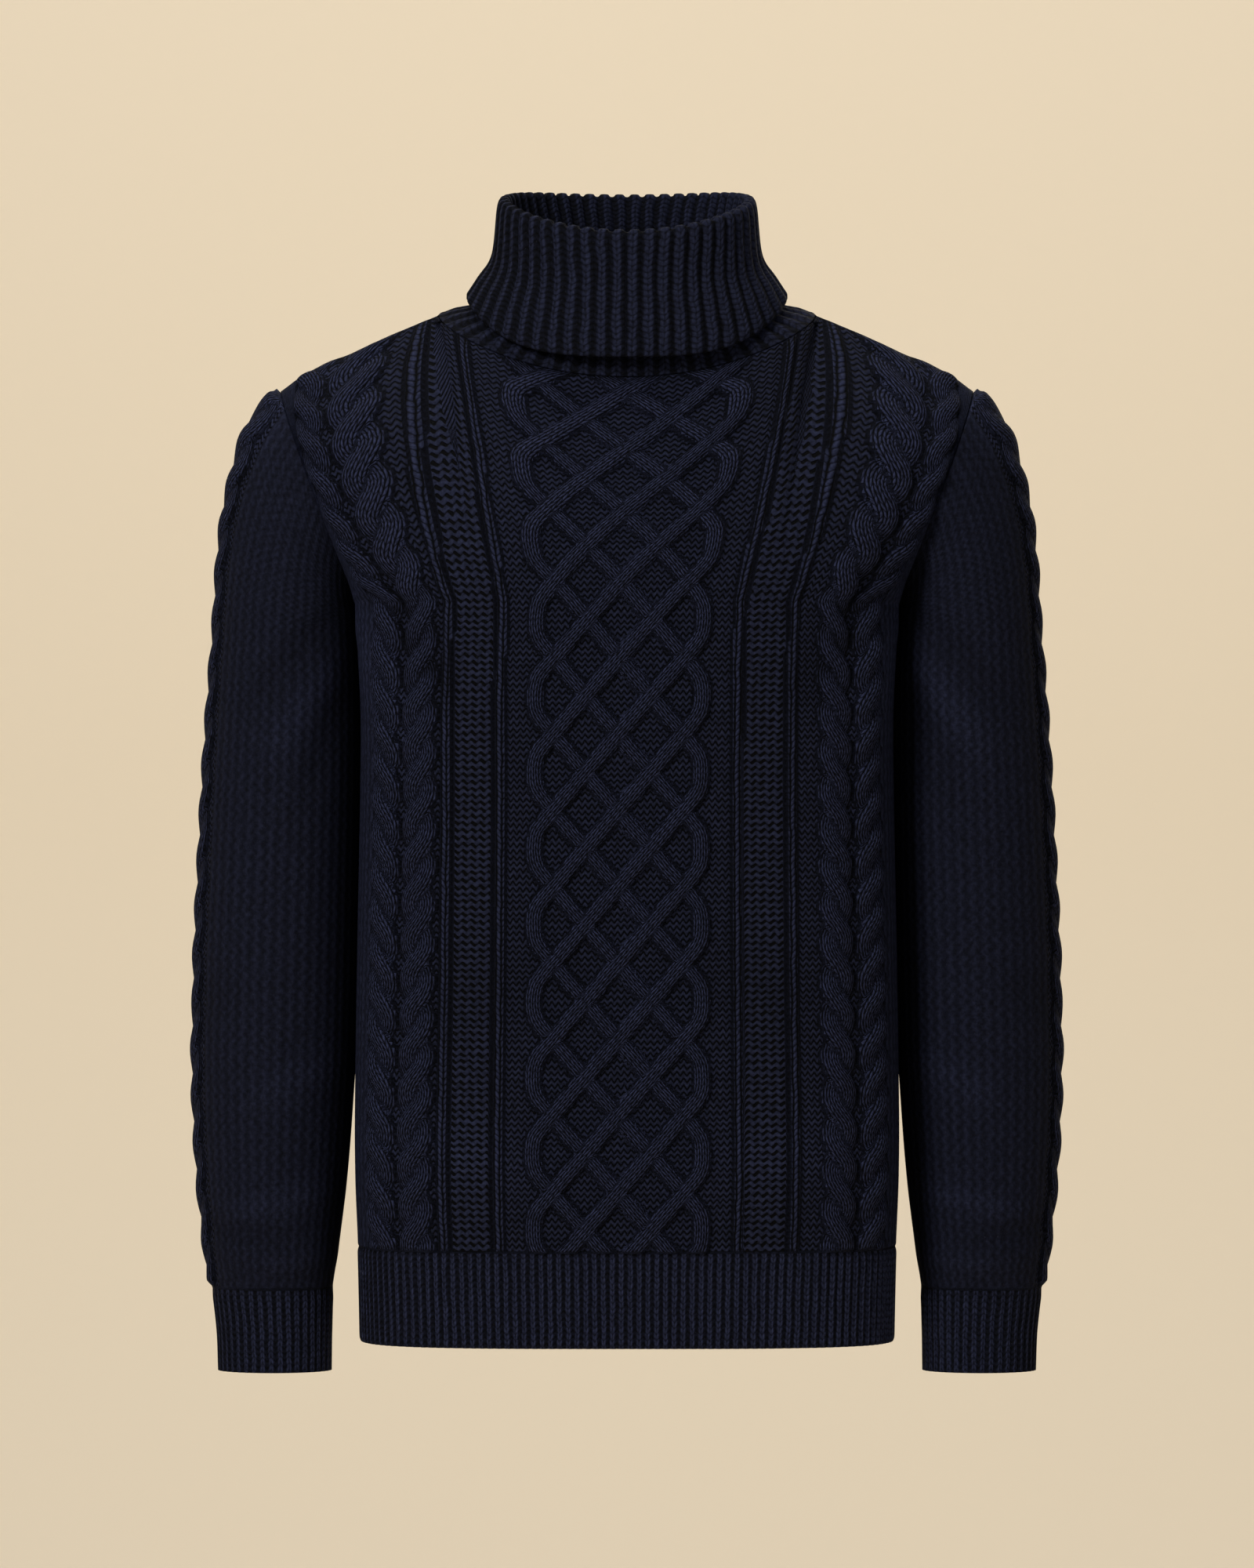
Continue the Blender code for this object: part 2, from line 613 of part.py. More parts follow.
def make_sleeve(name, sign):
    wall = Wall()
    flip = sign < 0
    seam_count = 2 * (TOP_ROW - ARMPIT_ROW)
    seam_turns = [k / seam_count for k in range(seam_count)]
    turns = sleeve_turns()

    def place(point):
        return np.array((point[0] * sign, point[1], point[2]))

    outer = []
    points = [place(armhole_point(turn)[0]) for turn in seam_turns]
    outer.append((closed(wall.row(points)), seam_turns + [1.0], None))
    levels = [(k + 1) / SLEEVE_CAP_ROWS for k in range(SLEEVE_CAP_ROWS)]
    depth = SLEEVE_HALF_ROW
    while SLEEVE_TOP_Z - depth > SLEEVE_END_Z + SLEEVE_HALF_ROW / 2:
        levels.append(1.0 + depth)
        depth += SLEEVE_HALF_ROW
    levels.append(level_of(SLEEVE_END_Z))
    for j, level in enumerate(levels):
        points = []
        heights = []
        for k, turn in enumerate(turns):
            height = cable_height(k - 2, j) if k <= 4 else 0.0
            if level == levels[-1]:
                height = 0.0
            heights.append(height)
            normal = sleeve_normal(turn, level)
            points.append(place(sleeve_point(turn, level) + normal * height))
        ring = closed(wall.row(points))
        outer.append((ring, turns + [turns[0] + 1.0], heights + heights[:1]))
    cuff_turns = [k / (2 * CUFF_RIBS) for k in range(2 * CUFF_RIBS)]
    for z in (CUFF_TOP_Z, (CUFF_TOP_Z + CUFF_BOTTOM_Z) / 2, CUFF_BOTTOM_Z):
        points = []
        for k, turn in enumerate(cuff_turns):
            height = CUFF_RIB_HEIGHT if k % 2 else 0.0
            normal = sleeve_normal(turn, level_of(z))
            normal[2] = 0.0
            points.append(place(sleeve_point(turn, level_of(z)) + unit(normal) * height))
        outer.append((closed(wall.row(points)), cuff_turns + [1.0], None))
    for (low, low_at, low_h), (high, high_at, high_h) in zip(outer, outer[1:]):
        if len(low) != len(high):
            wall.zip_rows(low, high, low_at, high_at, flip)
        else:
            wall.quad_rows(low, high, lambda k: k < 4, flip)
    inner_turns = [k / INNER_SLEEVE_COLUMNS for k in range(INNER_SLEEVE_COLUMNS)]
    inner = []
    points = []
    for turn in seam_turns:
        point, side, height = armhole_point(turn)
        points.append(place(point + armhole_inward(side, 1.0, height) * WALL))
    inner.append((closed(wall.row(points)), seam_turns + [1.0]))
    inner_levels = [0.3, 0.6, 1.0]
    inner_levels += [level_of(z) for z in (-260.0, -318.0, -390.0, -460.0, -528.0, -590.0, -630.0, -657.5)]
    for level in inner_levels:
        points = []
        for turn in inner_turns:
            point = sleeve_point(turn, level) - sleeve_normal(turn, level) * WALL
            points.append(place(point))
        inner.append((closed(wall.row(points)), inner_turns + [1.0]))
    points = []
    for turn in cuff_turns:
        normal = sleeve_normal(turn, level_of(CUFF_BOTTOM_Z))
        normal[2] = 0.0
        points.append(place(sleeve_point(turn, level_of(CUFF_BOTTOM_Z)) - unit(normal) * WALL))
    inner.append((closed(wall.row(points)), cuff_turns + [1.0]))
    for (low, low_at), (high, high_at) in zip(inner, inner[1:]):
        wall.zip_rows(low, high, low_at, high_at, not flip)
    wall.zip_rows(outer[0][0], inner[0][0], outer[0][1], inner[0][1], not flip)
    wall.zip_rows(outer[-1][0], inner[-1][0], outer[-1][1], inner[-1][1], flip)
    return wall.make(name, NAVY)


# ---- collar ----
def ring_point(ring, angle):
    """angle is 0 at the front and grows towards +X."""
    turned = angle - ring["spread"] * math.sin(2 * angle)
    cosine = math.cos(turned)
    level = (ring["front_z"] + ring["back_z"]) / 2 - ring["side_z"]
    tilt = (ring["front_z"] - ring["back_z"]) / 2
    x = ring["half_width"] * math.sin(turned)
    y = ring["centre_y"] - ring["half_depth"] * cosine
    sag = 4 * ring["sag"] * max(cosine, 0.0) ** 2 * (1 - cosine**2)
    z = ring["side_z"] + level * cosine**2 + tilt * cosine - sag
    return np.array((x, y, z))


def neck_turns():
    """Turns round the neckline at which the panels' columns end on it."""
    quarter = []
    for wale, _, _ in half_columns():
        sine = read_table(FRONT_YOKE, wale)[1] / NECK_HALF_WIDTH
        if sine < 1.0001:
            quarter.append(math.asin(min(sine, 1.0)))
    half = [0.0] + quarter + [math.pi - turned for turned in quarter[-2::-1]]
    return half + [math.pi] + [2 * math.pi - turned for turned in half[:0:-1]]


def ungathered(turned, spread):
    """The even angle that the gathering of the ribs moves to this turn."""
    angle = turned
    for _ in range(20):
        angle = turned + spread * math.sin(2 * angle)
    return angle


def collar_edge(wall, depth):
    """The collar's lower edge, along the panels' cut edge; depth goes through the wall."""
    turns = neck_turns()
    points = []
    for turned in turns:
        sine = math.sin(turned)
        cosine = math.cos(turned)
        y = NECK_CENTRE_Y - NECK_HALF_DEPTH * cosine
        point = np.array((NECK_HALF_WIDTH * sine, y, neck_height(cosine)))
        point = point + neck_away(sine, cosine) * NECK_GAP
        points.append(point + neck_inward(sine, cosine) * depth)
    places = [ungathered(turned, NECK_SPREAD) for turned in turns]
    return closed(wall.row(points)), places + [2 * math.pi]


def collar_ring(wall, ring, angles, out, ribbed):
    """out is the direction, in the ring's own radial plane, that the ribs rise to."""
    points = []
    for k, angle in enumerate(angles):
        point = ring_point(ring, angle)
        if ribbed and k % 2:
            centre = np.array((0.0, ring["centre_y"], point[2]))
            radial = unit(point - centre)
            push = radial * out[0] + np.array((0.0, 0.0, out[1]))
            point = point + unit(push) * COLLAR_RIB_HEIGHT
        points.append(point)
    return closed(wall.row(points))


COLLAR_SEEN_OUT = (
    (1.0, 0.0), (1.0, 0.2), (1.0, 0.1), (0.9, 0.4),
    (0.0, 1.0), (-0.8, 0.4), (-1.0, 0.0), (-0.8, 0.4),
)


def make_collar(name):
    wall = Wall()
    fine = [math.pi * (k / COLLAR_RIBS) for k in range(2 * COLLAR_RIBS)]
    coarse = [2 * math.pi * k / HIDDEN_COLUMNS for k in range(HIDDEN_COLUMNS)]
    fine_at = fine + [2 * math.pi]
    coarse_at = coarse + [2 * math.pi]
    seen = []
    for values, out in zip(COLLAR_SEEN, COLLAR_SEEN_OUT):
        ring = row_values(COLLAR_COLUMNS, values)
        seen.append((collar_ring(wall, ring, fine, out, True), fine_at))
    seen.append(collar_edge(wall, WALL))
    for (low, low_at), (high, high_at) in zip(seen, seen[1:]):
        wall.zip_rows(low, high, low_at, high_at)
    hidden = []
    for values in COLLAR_HIDDEN:
        ring = row_values(COLLAR_COLUMNS, values)
        hidden.append((collar_ring(wall, ring, coarse, (0.0, 1.0), False), coarse_at))
    foot = row_values(COLLAR_COLUMNS, COLLAR_STAND_FOOT)
    hidden.append((collar_ring(wall, foot, fine, (0.5, 0.8), True), fine_at))
    hidden.append(collar_edge(wall, 0.0))
    for (low, low_at), (high, high_at) in zip(hidden, hidden[1:]):
        wall.zip_rows(low, high, low_at, high_at, True)
    wall.zip_rows(seen[0][0], hidden[0][0], seen[0][1], hidden[0][1], True)
    wall.zip_rows(seen[-1][0], hidden[-1][0], seen[-1][1], hidden[-1][1])
    return wall.make(name, NAVY)


def clear_scene():
    for thing in list(bpy.data.objects):
        bpy.data.objects.remove(thing)


def main():
    clear_scene()
    make_panel("front", -1)
    make_panel("back", 1)
    make_sleeve("sleeve_left", 1)
    make_sleeve("sleeve_right", -1)
    make_collar("collar")


main()
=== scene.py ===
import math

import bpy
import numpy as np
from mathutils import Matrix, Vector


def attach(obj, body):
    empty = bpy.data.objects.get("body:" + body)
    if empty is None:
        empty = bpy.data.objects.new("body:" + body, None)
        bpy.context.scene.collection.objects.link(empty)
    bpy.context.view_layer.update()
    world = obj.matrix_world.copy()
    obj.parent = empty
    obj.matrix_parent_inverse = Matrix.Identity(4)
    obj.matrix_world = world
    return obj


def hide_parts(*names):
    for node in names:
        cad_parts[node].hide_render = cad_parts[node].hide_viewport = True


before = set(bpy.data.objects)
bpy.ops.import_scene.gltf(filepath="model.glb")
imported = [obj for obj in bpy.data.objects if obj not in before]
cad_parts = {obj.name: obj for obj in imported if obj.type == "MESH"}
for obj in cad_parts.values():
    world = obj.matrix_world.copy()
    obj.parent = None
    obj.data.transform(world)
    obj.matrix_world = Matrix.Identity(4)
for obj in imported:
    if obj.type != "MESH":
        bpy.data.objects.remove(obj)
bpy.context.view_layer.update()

# The looks of a filled-out cable-knit roll-neck sweater. Each CAD wall is replaced by a
# thin knitted shell on the same form: ropes, cables, ribs and folds are modelled, and the
# stitches are procedural, led by a stitch coordinate that every vertex carries.
# Sizes are in millimetres and become metres when a mesh is made.

MM = 0.001
WALL = 2.8              # thickness of the shells under the relief
SEAM_GAP = 0.4
ARMHOLE_GAP = 0.7

# ---- the form, as in the CAD ----
HEM_BOTTOM_Z = -689.5
HEM_TOP_Z = -628.0
HEM_RIBS = 42
FIRST_CROSS_Z = -611.5
HALF_ROW = 12.55
ARMPIT_ROW = 33
TOP_ROW = 47
SIDE_WALE = 252.0
LATTICE_STEP = 21.9
LATTICE_TURN = 2.57
TURN_SOFTNESS = 2.4
PATTERN_SHIFT = 6.0     # the front's middle bands lie this far towards -X
SHIFT_FULL_ROW = TOP_ROW - 22.0
SHIFT_GONE_ROW = TOP_ROW - 2.0

NECK_HALF_WIDTH = 127.0
NECK_HALF_DEPTH = 78.0
NECK_CENTRE_Y = 10.0
NECK_FRONT_Z = -48.7
NECK_SIDE_Z = -3.0
NECK_BACK_Z = -6.0
SHOULDER_TIP = (233.0, 10.0, -54.0)
SHOULDER_BOW = 2.5

SLEEVE_TOP_Z = -215.0
CUFF_TOP_Z = -655.0
CUFF_BOTTOM_Z = -710.5
CUFF_RIBS = 20
SLEEVE_CABLE_AT = 0.03
SLEEVE_CABLE_PITCH = 32.0
SLEEVE_RIBS = 42
SLEEVE_ROUND = 325.0
CAP_RUN = 170.0
COLLAR_RIBS = 50

# ---- the knit, mm ----
COURSES_A_ROW = 3
COURSE = HALF_ROW / COURSES_A_ROW
GRAIN = 1.9             # size of a cell of the dense outer grids
INNER_EVERY = 12        # the plain inner face keeps one grid line in this many
PURL_WALE = 4.4
STRAND_FULLNESS = 0.45  # below 0.5 a strand is blunter than round

ROPES = 6
ROPE_RADIUS = 5.9
ROPE_RISE = 4.4
ROPE_UNDER = 0.7        # how much lower the ropes falling to +X lie
ROPE_DIP = 1.3          # and how much more where they pass under
ROPE_WALE = 3.5

CABLE_RADIUS = 7.5
CABLE_SWING = 5.6
CABLE_RISE = 3.4
CABLE_CROSSING_RISE = 2.2
CABLE_WALE = 3.6
INNER_CABLE_AT = 143.0
OUTER_CABLE_AT = 173.0
OUTER_CABLE_SQUEEZE = 0.86      # below 1 widens the outer cable
CABLES_END = OUTER_CABLE_AT + 13.0

RIDGES_AT = (79.5, 117.8)
RIDGE_HALF = 3.7
RIDGE_RISE = 1.5
RIDGE_GUTTER_HALF = 5.4
RIDGE_GUTTER = -0.9
NET_FROM = 83.7
NET_TO = 113.6
NET_WALE = 5.98
NET_COURSE = 4.6
NET_RISE = 0.5

MOSS_WALE = 3.95
SIDE_MOSS_RISE = 1.0
SIDE_MOSS_WAVE = 0.3
SLEEVE_MOSS_WAVE = 0.15
SLEEVE_GUTTER_HALF = 17.0
SLEEVE_GUTTER = -0.5
SLEEVE_CABLE_FULLNESS = 0.72
HEM_RIB_RISE = 1.7
HEM_EDGE_SHARE = 0.55   # share of the rib's height left at the very edge
COLLAR_RIB_RISE = 1.9
COLLAR_PAINTED_SHADE = -1.5      # mm taken off the relief that drives the painted shade, so the collar is painted darker
RIB_VALLEY_AT = 0.43
RIB_RIDGE_AT = 0.2

KNIT_LAYERS = ("stitch", "knit_kind")
COLLAR_POINTS = 400
COLLAR_LINES = 150

# ---- the yarn, linear colours ----
YARN_COLOUR = (0.0088, 0.0105, 0.0235)
FLECK_COLOUR = (0.045, 0.05, 0.075)
FLECK_SHARE = 0.35
ROUGHNESS = 0.85
SPECULAR = 0.08
STITCH_DEPTH = 1.3      # mm, the bump of a whole stitch

# ---- the stitches; noise scales are per metre, widths in wales and courses ----
COURSE_SWAY_SCALE = 60.0
COURSE_SWAY = 0.9
WALE_SWAY_SCALE = 85.0
WALE_SWAY = 0.3
LOOP_SLANT = -1.5
PURL_WAVE = 0.26
MOSS_LEVEL = 0.56
MOSS_GRAIN = 0.08
MOSS_COLUMN = 0.06
NET_WAVE = 0.17
NET_HOLE_ACROSS = 7.0
NET_HOLE_ALONG = 12.0
FIBRE_HEIGHT = 0.28
FIBRE_SCALE = 9.0
FIBRE_STRETCH = 0.35
FUZZ_HEIGHT = 0.22
FUZZ_SCALE = 1500.0
HEATHER_SCALE = 420.0
FLECK_SCALE = 950.0

# ---- studio, m ----
CAMERA_AWAY = 5.0
CAMERA_Z = -0.318
CAMERA_LENS = 171.0
FLOOR_Z = -2.3
WALL_Y = 9.0
SWEEP_ROUND = 2.0
BACKDROP_HALF = 30.0
SWEEP_COLOUR = (0.78, 0.68, 0.53)
WORLD_COLOUR = (1.0, 1.0, 1.0)
WORLD_STRENGTH = 0.13
LIGHTS = (
    ("key", (-2.4, -3.6, 2.0), (0.0, 0.0, -0.3), (1.4, 1.4), 165.0, (1.0, 0.99, 0.97)),
    ("fill", (3.2, -3.6, 0.2), (0.0, 0.0, -0.35), (2.6, 2.6), 32.0, (1.0, 0.99, 0.97)),
    ("top", (0.0, 0.2, 3.0), (0.0, 0.0, -0.3), (2.6, 2.0), 40.0, (1.0, 0.99, 0.97)),
    ("rear", (1.2, 4.6, 1.2), (0.0, 0.0, -0.35), (2.6, 2.6), 60.0, (1.0, 0.98, 0.96)),
    ("paper", (0.0, 2.6, 4.2), (0.0, 9.0, -0.8), (7.0, 2.5), 424.0, (1.0, 0.99, 0.97)),
)

BODY_COLUMNS = ("z", "half_width", "front", "back", "power")
BODY_SECTIONS = (
    (-700.0, 177.2, 102.0, 103.0, 3.4),
    (-628.0, 178.8, 106.0, 106.5, 3.4),
    (-581.0, 180.6, 108.0, 105.0, 3.4),
    (-528.0, 180.8, 107.0, 101.0, 3.4),
    (-423.0, 179.3, 106.5, 97.0, 3.3),
    (-318.0, 177.4, 109.5, 102.0, 3.1),
    (-265.0, 177.2, 112.0, 107.0, 3.0),
    (-190.0, 180.0, 112.5, 112.0, 2.8),
)
YOKE_COLUMNS = ("wale", "top_x", "up_x", "up_y", "up_z", "end_x", "end_y", "end_z")
FRONT_YOKE = (
    (0.0, 0.0, 0.0, 0.0, 175.7, 0.0, 78.0, 141.0),
    (40.0, 55.0, 8.0, 0.0, 175.7, 14.0, 82.0, 143.0),
    (80.0, 110.0, 14.0, 0.0, 175.7, 34.0, 105.0, 140.0),
    (104.0, 127.0, 15.5, 0.0, 175.7, 32.0, 128.0, 120.0),
    (117.0, 136.0, 16.0, 0.0, 175.7, 30.0, 140.0, 105.0),
    (145.0, 172.0, 16.0, -6.0, 170.0, 30.0, 165.0, 85.0),
    (180.0, 207.0, 22.0, -30.0, 160.0, 30.0, 185.0, 75.0),
    (252.0, 233.0, 40.0, -200.0, 100.0, 15.0, 205.0, 60.0),
)
BACK_YOKE = (
    (0.0, 0.0, 0.0, 6.0, 185.0, 0.0, -45.0, 185.0),
    (40.0, 55.0, 8.0, 6.0, 185.0, 14.0, -50.0, 180.0),
    (80.0, 110.0, 14.0, 6.0, 185.0, 34.0, -85.0, 160.0),
    (104.0, 127.0, 15.5, 7.0, 185.0, 32.0, -118.0, 130.0),
    (117.0, 136.0, 16.0, 8.0, 185.0, 30.0, -140.0, 110.0),
    (145.0, 172.0, 16.0, 14.0, 180.0, 30.0, -165.0, 85.0),
    (180.0, 207.0, 22.0, 40.0, 165.0, 30.0, -185.0, 75.0),
    (252.0, 233.0, 40.0, 205.0, 100.0, 15.0, -205.0, 60.0),
)
SPREAD_WALES = (0.0, 55.0, 80.0, 115.5, 143.0, 173.0, 187.0, 252.0)
SPREAD_PULL = (0.0, 59.0, 92.0, 140.7, 195.5, 280.0, 296.0, 252.0)
SPREAD_TOP = (0.0, 55.0, 80.0, 115.5, 143.0, 182.0, 212.0, 252.0)

SLEEVE_COLUMNS = ("z", "outer_x", "inner_x", "centre_y", "half_depth")
SLEEVE_SECTIONS = (
    (-215.0, 276.3, 179.8, 10.0, 57.5),
    (-265.0, 280.3, 178.1, 12.0, 57.5),
    (-318.0, 283.7, 178.3, 12.0, 57.0),
    (-371.0, 286.3, 179.2, 12.0, 57.0),
    (-423.0, 288.7, 180.2, 12.0, 57.0),
    (-476.0, 290.2, 181.4, 11.0, 56.0),
    (-528.0, 289.8, 184.0, 9.0, 54.0),
    (-581.0, 286.8, 188.0, 5.0, 50.0),
    (-630.0, 281.8, 193.8, 0.0, 44.0),
    (-655.0, 278.0, 197.5, -3.0, 35.0),
    (-684.0, 274.4, 198.6, -6.0, 31.0),
    (-710.5, 273.2, 198.9, -8.0, 31.0),
)
COLLAR_COLUMNS = (
    "half_width", "half_depth", "centre_y", "front_z", "side_z", "back_z", "spread", "sag",
)
COLLAR_SEEN = (
    (107.6, 88.6, 7.0, -36.0, 8.5, 4.5, 0.11, 6.5),
    (99.5, 83.5, 6.0, -12.0, 20.7, 27.0, 0.085, 4.5),
    (89.4, 75.5, 5.0, 16.0, 37.0, 51.0, 0.05, 2.0),
    (85.6, 71.0, 4.0, 43.0, 69.0, 77.0, 0.0, 0.0),
    (82.6, 67.6, 4.0, 47.5, 74.0, 81.5, 0.0, 0.0),
    (79.6, 64.6, 4.0, 43.5, 70.0, 77.5, 0.0, 0.0),
    (78.6, 64.2, 4.0, 12.0, 40.0, 54.0, 0.04, 0.0),
    (92.0, 68.5, 7.0, -20.0, 9.0, 17.0, 0.09, 0.0),
    (124.5, 75.2, 9.8, -48.5, -4.5, -5.6, 0.165, 0.0),
)
COLLAR_HIDDEN = (
    (104.0, 85.0, 7.0, -34.5, 9.0, 5.5, 0.11, 6.5),
    (97.2, 81.2, 6.0, -14.0, 18.7, 25.0, 0.09, 4.5),
    (88.0, 74.2, 5.0, 12.0, 33.8, 47.0, 0.06, 2.0),
    (83.8, 69.6, 4.5, 33.0, 60.0, 67.0, 0.03, 0.0),
    (82.9, 68.2, 4.0, 42.5, 69.0, 76.5, 0.0, 0.0),
    (81.9, 67.2, 4.0, 33.0, 59.0, 67.0, 0.0, 0.0),
    (81.8, 67.4, 4.0, 12.0, 39.0, 52.0, 0.04, 0.0),
    (93.5, 71.0, 7.0, -17.5, 10.0, 18.0, 0.09, 0.0),
    (104.0, 74.5, 9.0, -31.0, 1.5, 4.5, 0.12, 0.0),
    (126.5, 77.8, 10.0, -48.1, -2.7, -5.4, 0.165, 0.0),
)


# ---- reading tables and curves ----
def hermite(start, end, slope_start, slope_end, t):
    a = 2 * t**3 - 3 * t**2 + 1
    b = t**3 - 2 * t**2 + t
    c = -2 * t**3 + 3 * t**2
    d = t**3 - t**2
    return a * start + b * slope_start + c * end + d * slope_end


def read_table(rows, at):
    """Smooth reading of a table whose first column is the place."""
    if rows[0][0] > rows[-1][0]:
        rows = rows[::-1]
    places = [row[0] for row in rows]
    at = min(max(at, places[0]), places[-1])
    k = 0
    while k < len(places) - 2 and at > places[k + 1]:
        k += 1
    before = np.array(rows[max(k - 1, 0)])
    start = np.array(rows[k])
    end = np.array(rows[k + 1])
    after = np.array(rows[min(k + 2, len(rows) - 1)])
    span = end[0] - start[0]
    slope_start = (end - before) / (end[0] - before[0]) * span
    slope_end = (after - start) / (after[0] - start[0]) * span
    return hermite(start, end, slope_start, slope_end, (at - start[0]) / span)


def row_values(columns, row):
    return dict(zip(columns, row))


def smooth_step(low, high, value):
    t = np.clip((value - low) / (high - low), 0.0, 1.0)
    return t * t * (3 - 2 * t)


def unit_rows(vectors):
    return vectors / np.maximum(np.linalg.norm(vectors, axis=-1, keepdims=True), 1e-9)


# ---- plain surfaces ----
def neck_height(cosine):
    level = (NECK_FRONT_Z + NECK_BACK_Z) / 2 - NECK_SIDE_Z
    tilt = (NECK_FRONT_Z - NECK_BACK_Z) / 2
    return NECK_SIDE_Z + level * cosine**2 + tilt * cosine


def top_point(side, top_x):
    x = abs(top_x)
    if x <= NECK_HALF_WIDTH:
        cosine = -side * math.sqrt(max(1 - (x / NECK_HALF_WIDTH) ** 2, 0.0))
        return (top_x, NECK_CENTRE_Y - NECK_HALF_DEPTH * cosine, neck_height(cosine))
    along = (x - NECK_HALF_WIDTH) / (SHOULDER_TIP[0] - NECK_HALF_WIDTH)
    z = NECK_SIDE_Z + (SHOULDER_TIP[2] - NECK_SIDE_Z) * along
    return (top_x, NECK_CENTRE_Y, z + SHOULDER_BOW * 4 * along * (1 - along))


def body_row(side, wales, z):
    section = row_values(BODY_COLUMNS, read_table(BODY_SECTIONS, z))
    depth = section["front"] if side < 0 else section["back"]
    angle = np.linspace(0.0, math.pi / 2, 400)
    x = section["half_width"] * np.sin(angle) ** (2 / section["power"])
    y = depth * np.cos(angle) ** (2 / section["power"])
    run = np.concatenate(([0.0], np.cumsum(np.hypot(np.diff(x), np.diff(y)))))
    at = np.abs(wales) / SIDE_WALE * run[-1]
    px = np.interp(at, run, x) * np.sign(wales)
    py = side * np.interp(at, run, y)
    return np.stack((px, py, np.full(len(wales), z)), axis=1)


def yoke_frame(side, wales):
    """Ends and end directions of the run of each wale through the yoke."""
    table = FRONT_YOKE if side < 0 else BACK_YOKE
    low = body_row(side, wales, FIRST_CROSS_Z + HALF_ROW * ARMPIT_ROW)
    high = np.zeros_like(low)
    up = np.zeros_like(low)
    end = np.zeros_like(low)
    for k, wale in enumerate(wales):
        sign = -1.0 if wale < 0 else 1.0
        run = row_values(YOKE_COLUMNS, read_table(table, abs(wale)))
        high[k] = top_point(side, sign * max(run["top_x"], 0.0))
        up[k] = (sign * run["up_x"], run["up_y"], run["up_z"])
        end[k] = (sign * run["end_x"], run["end_y"], run["end_z"])
    return low, high, up, end


def spread_wales(wales, t):
    """Places across the yoke, in wales of the armpit row, at t of their run."""
    pull = np.interp(np.abs(wales), SPREAD_WALES, SPREAD_PULL)
    top = np.interp(np.abs(wales), SPREAD_WALES, SPREAD_TOP)
    return (1 - t) ** 2 * np.abs(wales) + 2 * t * (1 - t) * pull + t**2 * top


def panel_surface(side, wales, rows):
    places = np.linspace(0.0, SIDE_WALE, 505)
    low, high, up, end = yoke_frame(side, places)
    surface = np.zeros((len(rows), len(wales), 3))
    for i, row in enumerate(rows):
        if row <= ARMPIT_ROW:
            surface[i] = body_row(side, wales, FIRST_CROSS_Z + HALF_ROW * row)
            continue
        t = (row - ARMPIT_ROW) / (TOP_ROW - ARMPIT_ROW)
        curve = hermite(low, high, up, end, t)
        spread = spread_wales(wales, t)
        for axis in range(3):
            surface[i, :, axis] = np.interp(spread, places, curve[:, axis])
        surface[i, :, 0] *= np.sign(wales)
    surface[:, :, 1] += side * SEAM_GAP / 2
    return surface


def sleeve_ring(turns, z):
    section = row_values(SLEEVE_COLUMNS, read_table(SLEEVE_SECTIONS, z))
    centre = (section["outer_x"] + section["inner_x"]) / 2
    half = (section["outer_x"] - section["inner_x"]) / 2
    x = centre + half * np.cos(2 * math.pi * turns)
    y = section["centre_y"] - section["half_depth"] * np.sin(2 * math.pi * turns)
    return np.stack((x, y, np.full(len(turns), z)), axis=1)


CAP_LEAVE_TIP = np.array((0.72, 0.0, -0.70))
CAP_LEAVE_MIDDLE = np.array((0.35, 0.0, -0.94))
CAP_LEAVE_UNDER = np.array((0.15, 0.0, -1.0))
CAP_ARRIVE = np.array((0.06, 0.0, -1.0))


def sleeve_surface(turns, levels):
    """levels up to 1 run through the cap; above it they are 1 + mm below the first ring."""
    start = np.zeros((len(turns), 3))
    height = np.where(turns % 1.0 <= 0.5, 1 - 2 * (turns % 1.0), 2 * (turns % 1.0) - 1)
    for side in (-1, 1):
        low, high, up, end = (part[0] for part in yoke_frame(side, np.array((SIDE_WALE,))))
        chosen = (turns % 1.0 <= 0.5) == (side < 0)
        t = height[chosen][:, None]
        start[chosen] = hermite(low, high, up, end, t)
    start[:, 0] += ARMHOLE_GAP
    finish = sleeve_ring(turns, SLEEVE_TOP_Z)
    h = height[:, None]
    leave = (1 - h) ** 2 * CAP_LEAVE_UNDER + 2 * h * (1 - h) * CAP_LEAVE_MIDDLE
    leave = unit_rows(leave + h**2 * CAP_LEAVE_TIP)
    length = np.linalg.norm(finish - start, axis=1, keepdims=True) * 1.08
    surface = np.zeros((len(levels), len(turns), 3))
    for i, level in enumerate(levels):
        if level <= 1.0:
            surface[i] = hermite(start, finish, leave * length, CAP_ARRIVE * length, level)
        else:
            surface[i] = sleeve_ring(turns, SLEEVE_TOP_Z - (level - 1.0))
    return surface


def collar_surface(table, angles, places):
    """Rings of a collar table, read smoothly between its rows."""
    rows = tuple((float(k),) + row for k, row in enumerate(table))
    surface = np.zeros((len(places), len(angles), 3))
    for i, place in enumerate(places):
        ring = row_values(COLLAR_COLUMNS, read_table(rows, place)[1:])
        turned = angles - ring["spread"] * np.sin(2 * angles)
        cosine = np.cos(turned)
        level = (ring["front_z"] + ring["back_z"]) / 2 - ring["side_z"]
        tilt = (ring["front_z"] - ring["back_z"]) / 2
        surface[i, :, 0] = ring["half_width"] * np.sin(turned)
        surface[i, :, 1] = ring["centre_y"] - ring["half_depth"] * cosine
        sag = 4 * ring["sag"] * np.maximum(cosine, 0.0) ** 2 * (1 - cosine**2)
        surface[i, :, 2] = ring["side_z"] + level * cosine**2 + tilt * cosine - sag
    return surface


